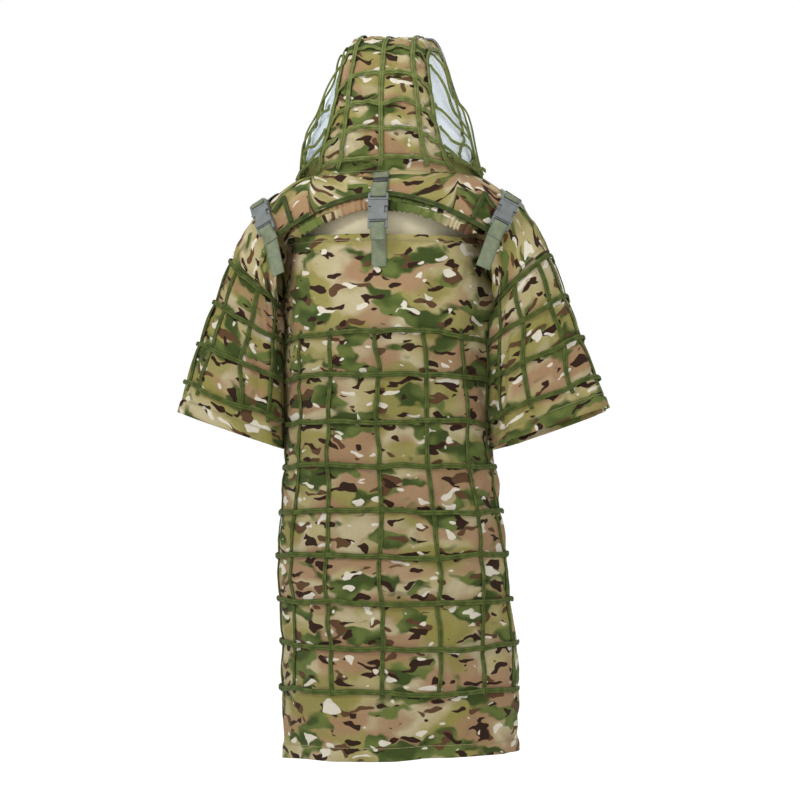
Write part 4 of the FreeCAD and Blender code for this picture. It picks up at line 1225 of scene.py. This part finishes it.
# ---- stitching ----
def stitches(name, lines):
    """Rows of 3 mm stitches, 4 mm apart, along lines of points and directions."""
    paths = []
    for points, normals in lines:
        both = smoothed(np.concatenate([points, normals], 1), 1.0)
        line, facing = both[:, :3], unit(both[:, 3:])
        for i in range(0, len(line) - 4, 4):
            paths.append((line[i : i + 4 : 3] + facing[i : i + 4 : 3] * 0.25, facing[i : i + 4 : 3]))
    return ribbons(name, paths, hem_thread, 0.9, 0.5, step=2.9)


across = np.linspace(-0.97, 0.97, 160)
back_lines = [back_at(0 * across + PANEL_TOP - 11.0, across), back_at(0 * across + TAIL_HEM + 22.0, across)]
back_stitches = stitches("back_stitching", back_lines)
yoke_lines = [yoke.at(np.linspace(0.02, 0.98, 60), np.full(60, b)) for b in (0.02, 0.98)]
yoke_stitches = stitches("yoke_stitching", yoke_lines)
sleeve_stitches = {}
for name in ("left", "right"):
    around = SLEEVE_SEAM + np.linspace(0, 357, 200)
    lines = [sleeve_at(sleeves[name], 0 * around + row, around) for row in (0.918, 0.03)]
    sleeve_stitches[name] = stitches("sleeve_stitching_" + name, lines)
place = np.linspace(-0.97, 0.97, 90)
hood_stitches = stitches("hood_stitching", [strip_at(place, 0 * place - 0.035)])

# ---- what moves with what, and what stands for what ----
FOLDS = {
    "tail": {"start": (0, 0.13, -0.412), "end": (0, 0.13, -0.532)},
    "hood": {"start": (0, 0.1, 0.013), "end": (0, 0.1, 0.15)},
    "sleeve_left": {"start": (0.227, 0, -0.163), "end": (0.256, 0, -0.258)},
    "sleeve_right": {"start": (-0.227, 0, -0.163), "end": (-0.256, 0, -0.258)},
}


def finish_piece(made, nodes=(), body="coat", bends=True):
    """A piece on a body. On a body listed in FOLDS, unless bends is False, its transform is baked into its
    mesh and it stays unparented; otherwise it is parented to the body's empty. The CAD parts it stands for
    are hidden.
    """
    if body in FOLDS and bends:
        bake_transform(made)
    else:
        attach(made, body)
    if nodes:
        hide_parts(*nodes)


finish_piece(back.made, ("back_panel", "tail_panel"), "tail")
finish_piece(back_rows, ("back_net_rows", "tail_net_rows"), "tail")
finish_piece(back_columns, ("back_net_columns", "tail_net_columns"), "tail")
finish_piece(back_ties, (), "tail")
finish_piece(back_stitches, (), "tail")
finish_piece(liner.made, ("back_liner",))
finish_piece(yoke.made, ("yoke_back",))
finish_piece(yoke_stitches)
finish_piece(yoke_tape, ("yoke_tapes",))
finish_piece(casing, ("vent_casing",))
finish_piece(elastic, ("vent_elastic",))
finish_piece(shoulder_webbing, ("shoulder_straps",))
finish_piece(painted_slot_shadow)
for name, _ in SIDES:
    body = "sleeve_" + name
    finish_piece(bibs[name].made, ("front_bib_" + name,))
    finish_piece(sleeves[name].made, (body,), body)
    for part in ("_rows", "_columns"):
        finish_piece(sleeve_nets[name + part], (body + "_net" + part,), body)
    finish_piece(sleeve_stitches[name], (), body)
    finish_piece(hood_sides[name].made, ("hood_side_net_" + name,), "hood")
    finish_piece(hood_gussets[name].made, ("hood_gussets",), "hood")
    finish_piece(hood_cords[name], (), "hood")
    finish_piece(side_webbing[name], ("side_strap_" + name,))
finish_piece(hood_strip.made, ("hood_centre_panel",), "hood")
finish_piece(hood_row_tapes, ("hood_net_rows",), "hood")
finish_piece(hood_column_tapes, ("hood_net_columns",), "hood")
finish_piece(hood_stitches, (), "hood")
finish_piece(brim.made, ("hood_brim",), "hood", False)
finish_piece(wire, ("hood_brim_wire",), "hood", False)
for name in frames:
    for part in ("upper", "lower"):
        finish_piece(straps[name + "_" + part], (name + "_buckle_" + part + "_strap",))

for node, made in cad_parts.items():
    grey = any(word in node for word in ("_socket", "_plug", "_prong"))
    if grey or "adjuster" in node:
        for place in made.material_slots:
            place.material = buckle_grey if grey else black_plastic

# ---- how each cloth hangs and what it rests on, which declare does not keep ----
back.declare("hung", ["yoke_cloth", "back_liner_cloth"])
liner.declare("hung", ["yoke_cloth"])
yoke.declare("draped", ["front_bib_cloth_left", "front_bib_cloth_right"])
for name in ("left", "right"):
    bibs[name].declare("draped", ["yoke_cloth"])
    sleeves[name].declare("hung", ["yoke_cloth"])
    hood_sides[name].declare("draped", ["hood_strip_cloth"])
    hood_gussets[name].declare("draped", ["yoke_cloth"])
hood_strip.declare("draped", ["yoke_cloth"])
brim.declare("stretched", ["hood_strip_cloth"])

# ---- floor, light and camera ----
FLOOR_HEIGHT = -1.52
floor_mesh = bpy.data.meshes.new("floor")
size = 30.0
corners = [(x * size, y * size, FLOOR_HEIGHT) for x, y in ((-1, -1), (1, -1), (1, 1), (-1, 1))]
floor_mesh.from_pydata(corners, [], [(0, 1, 2, 3)])
floor = bpy.data.objects.new("floor", floor_mesh)
bpy.context.scene.collection.objects.link(floor)
floor_finish = Nodes("floor", 0.9)
floor_finish.shader.inputs["Base Color"].default_value = (0.93, 0.93, 0.93, 1.0)
floor_finish.shader.inputs["Emission Color"].default_value = (1.0, 1.0, 1.0, 1.0)
floor_finish.shader.inputs["Emission Strength"].default_value = 0.14
floor_mesh.materials.append(floor_finish.material)

world = bpy.data.worlds.new("studio")
world.use_nodes = True
sky = world.node_tree.nodes["Background"]
sky.inputs["Color"].default_value = (1.0, 1.0, 1.0, 1.0)
sky.inputs["Strength"].default_value = 1.0
bpy.context.scene.world = world
bpy.context.scene.view_settings.view_transform = "Standard"


def area_light(name, place, target, size, power):
    light = bpy.data.lights.new(name, "AREA")
    light.shape = "DISK"
    light.size = size
    light.energy = power
    made = bpy.data.objects.new(name, light)
    made.location = place
    made.rotation_euler = (Vector(target) - Vector(place)).to_track_quat("-Z", "Y").to_euler()
    bpy.context.scene.collection.objects.link(made)


area_light("key", (1.7, 2.6, 2.6), (0, 0, -0.2), 1.1, 105.0)
area_light("fill", (-2.6, 2.4, 0.6), (0, 0, -0.4), 2.0, 18.0)
area_light("front", (0.5, -3.2, 1.4), (0, 0, -0.3), 2.0, 40.0)

AZIMUTH = 188.0
DISTANCE = 3.66
SIDE_SHIFT = 0.0153
CAMERA_HEIGHT = -0.561
PITCH = 3.02
LENS = 97.18
turn = math.radians(AZIMUTH)
back_way = Vector((math.sin(turn), -math.cos(turn), 0.0))
right_way = Vector((math.cos(turn), math.sin(turn), 0.0))
camera = bpy.data.objects.new("camera", bpy.data.cameras.new("camera"))
bpy.context.scene.collection.objects.link(camera)
camera.data.lens = LENS
camera.data.sensor_width = 36.0
camera.data.clip_end = 100.0
camera.location = back_way * DISTANCE + right_way * SIDE_SHIFT + Vector((0, 0, CAMERA_HEIGHT))
looking = -back_way * math.cos(math.radians(PITCH)) + Vector((0, 0, math.sin(math.radians(PITCH))))
camera.rotation_euler = looking.to_track_quat("-Z", "Y").to_euler()
bpy.context.scene.camera = camera
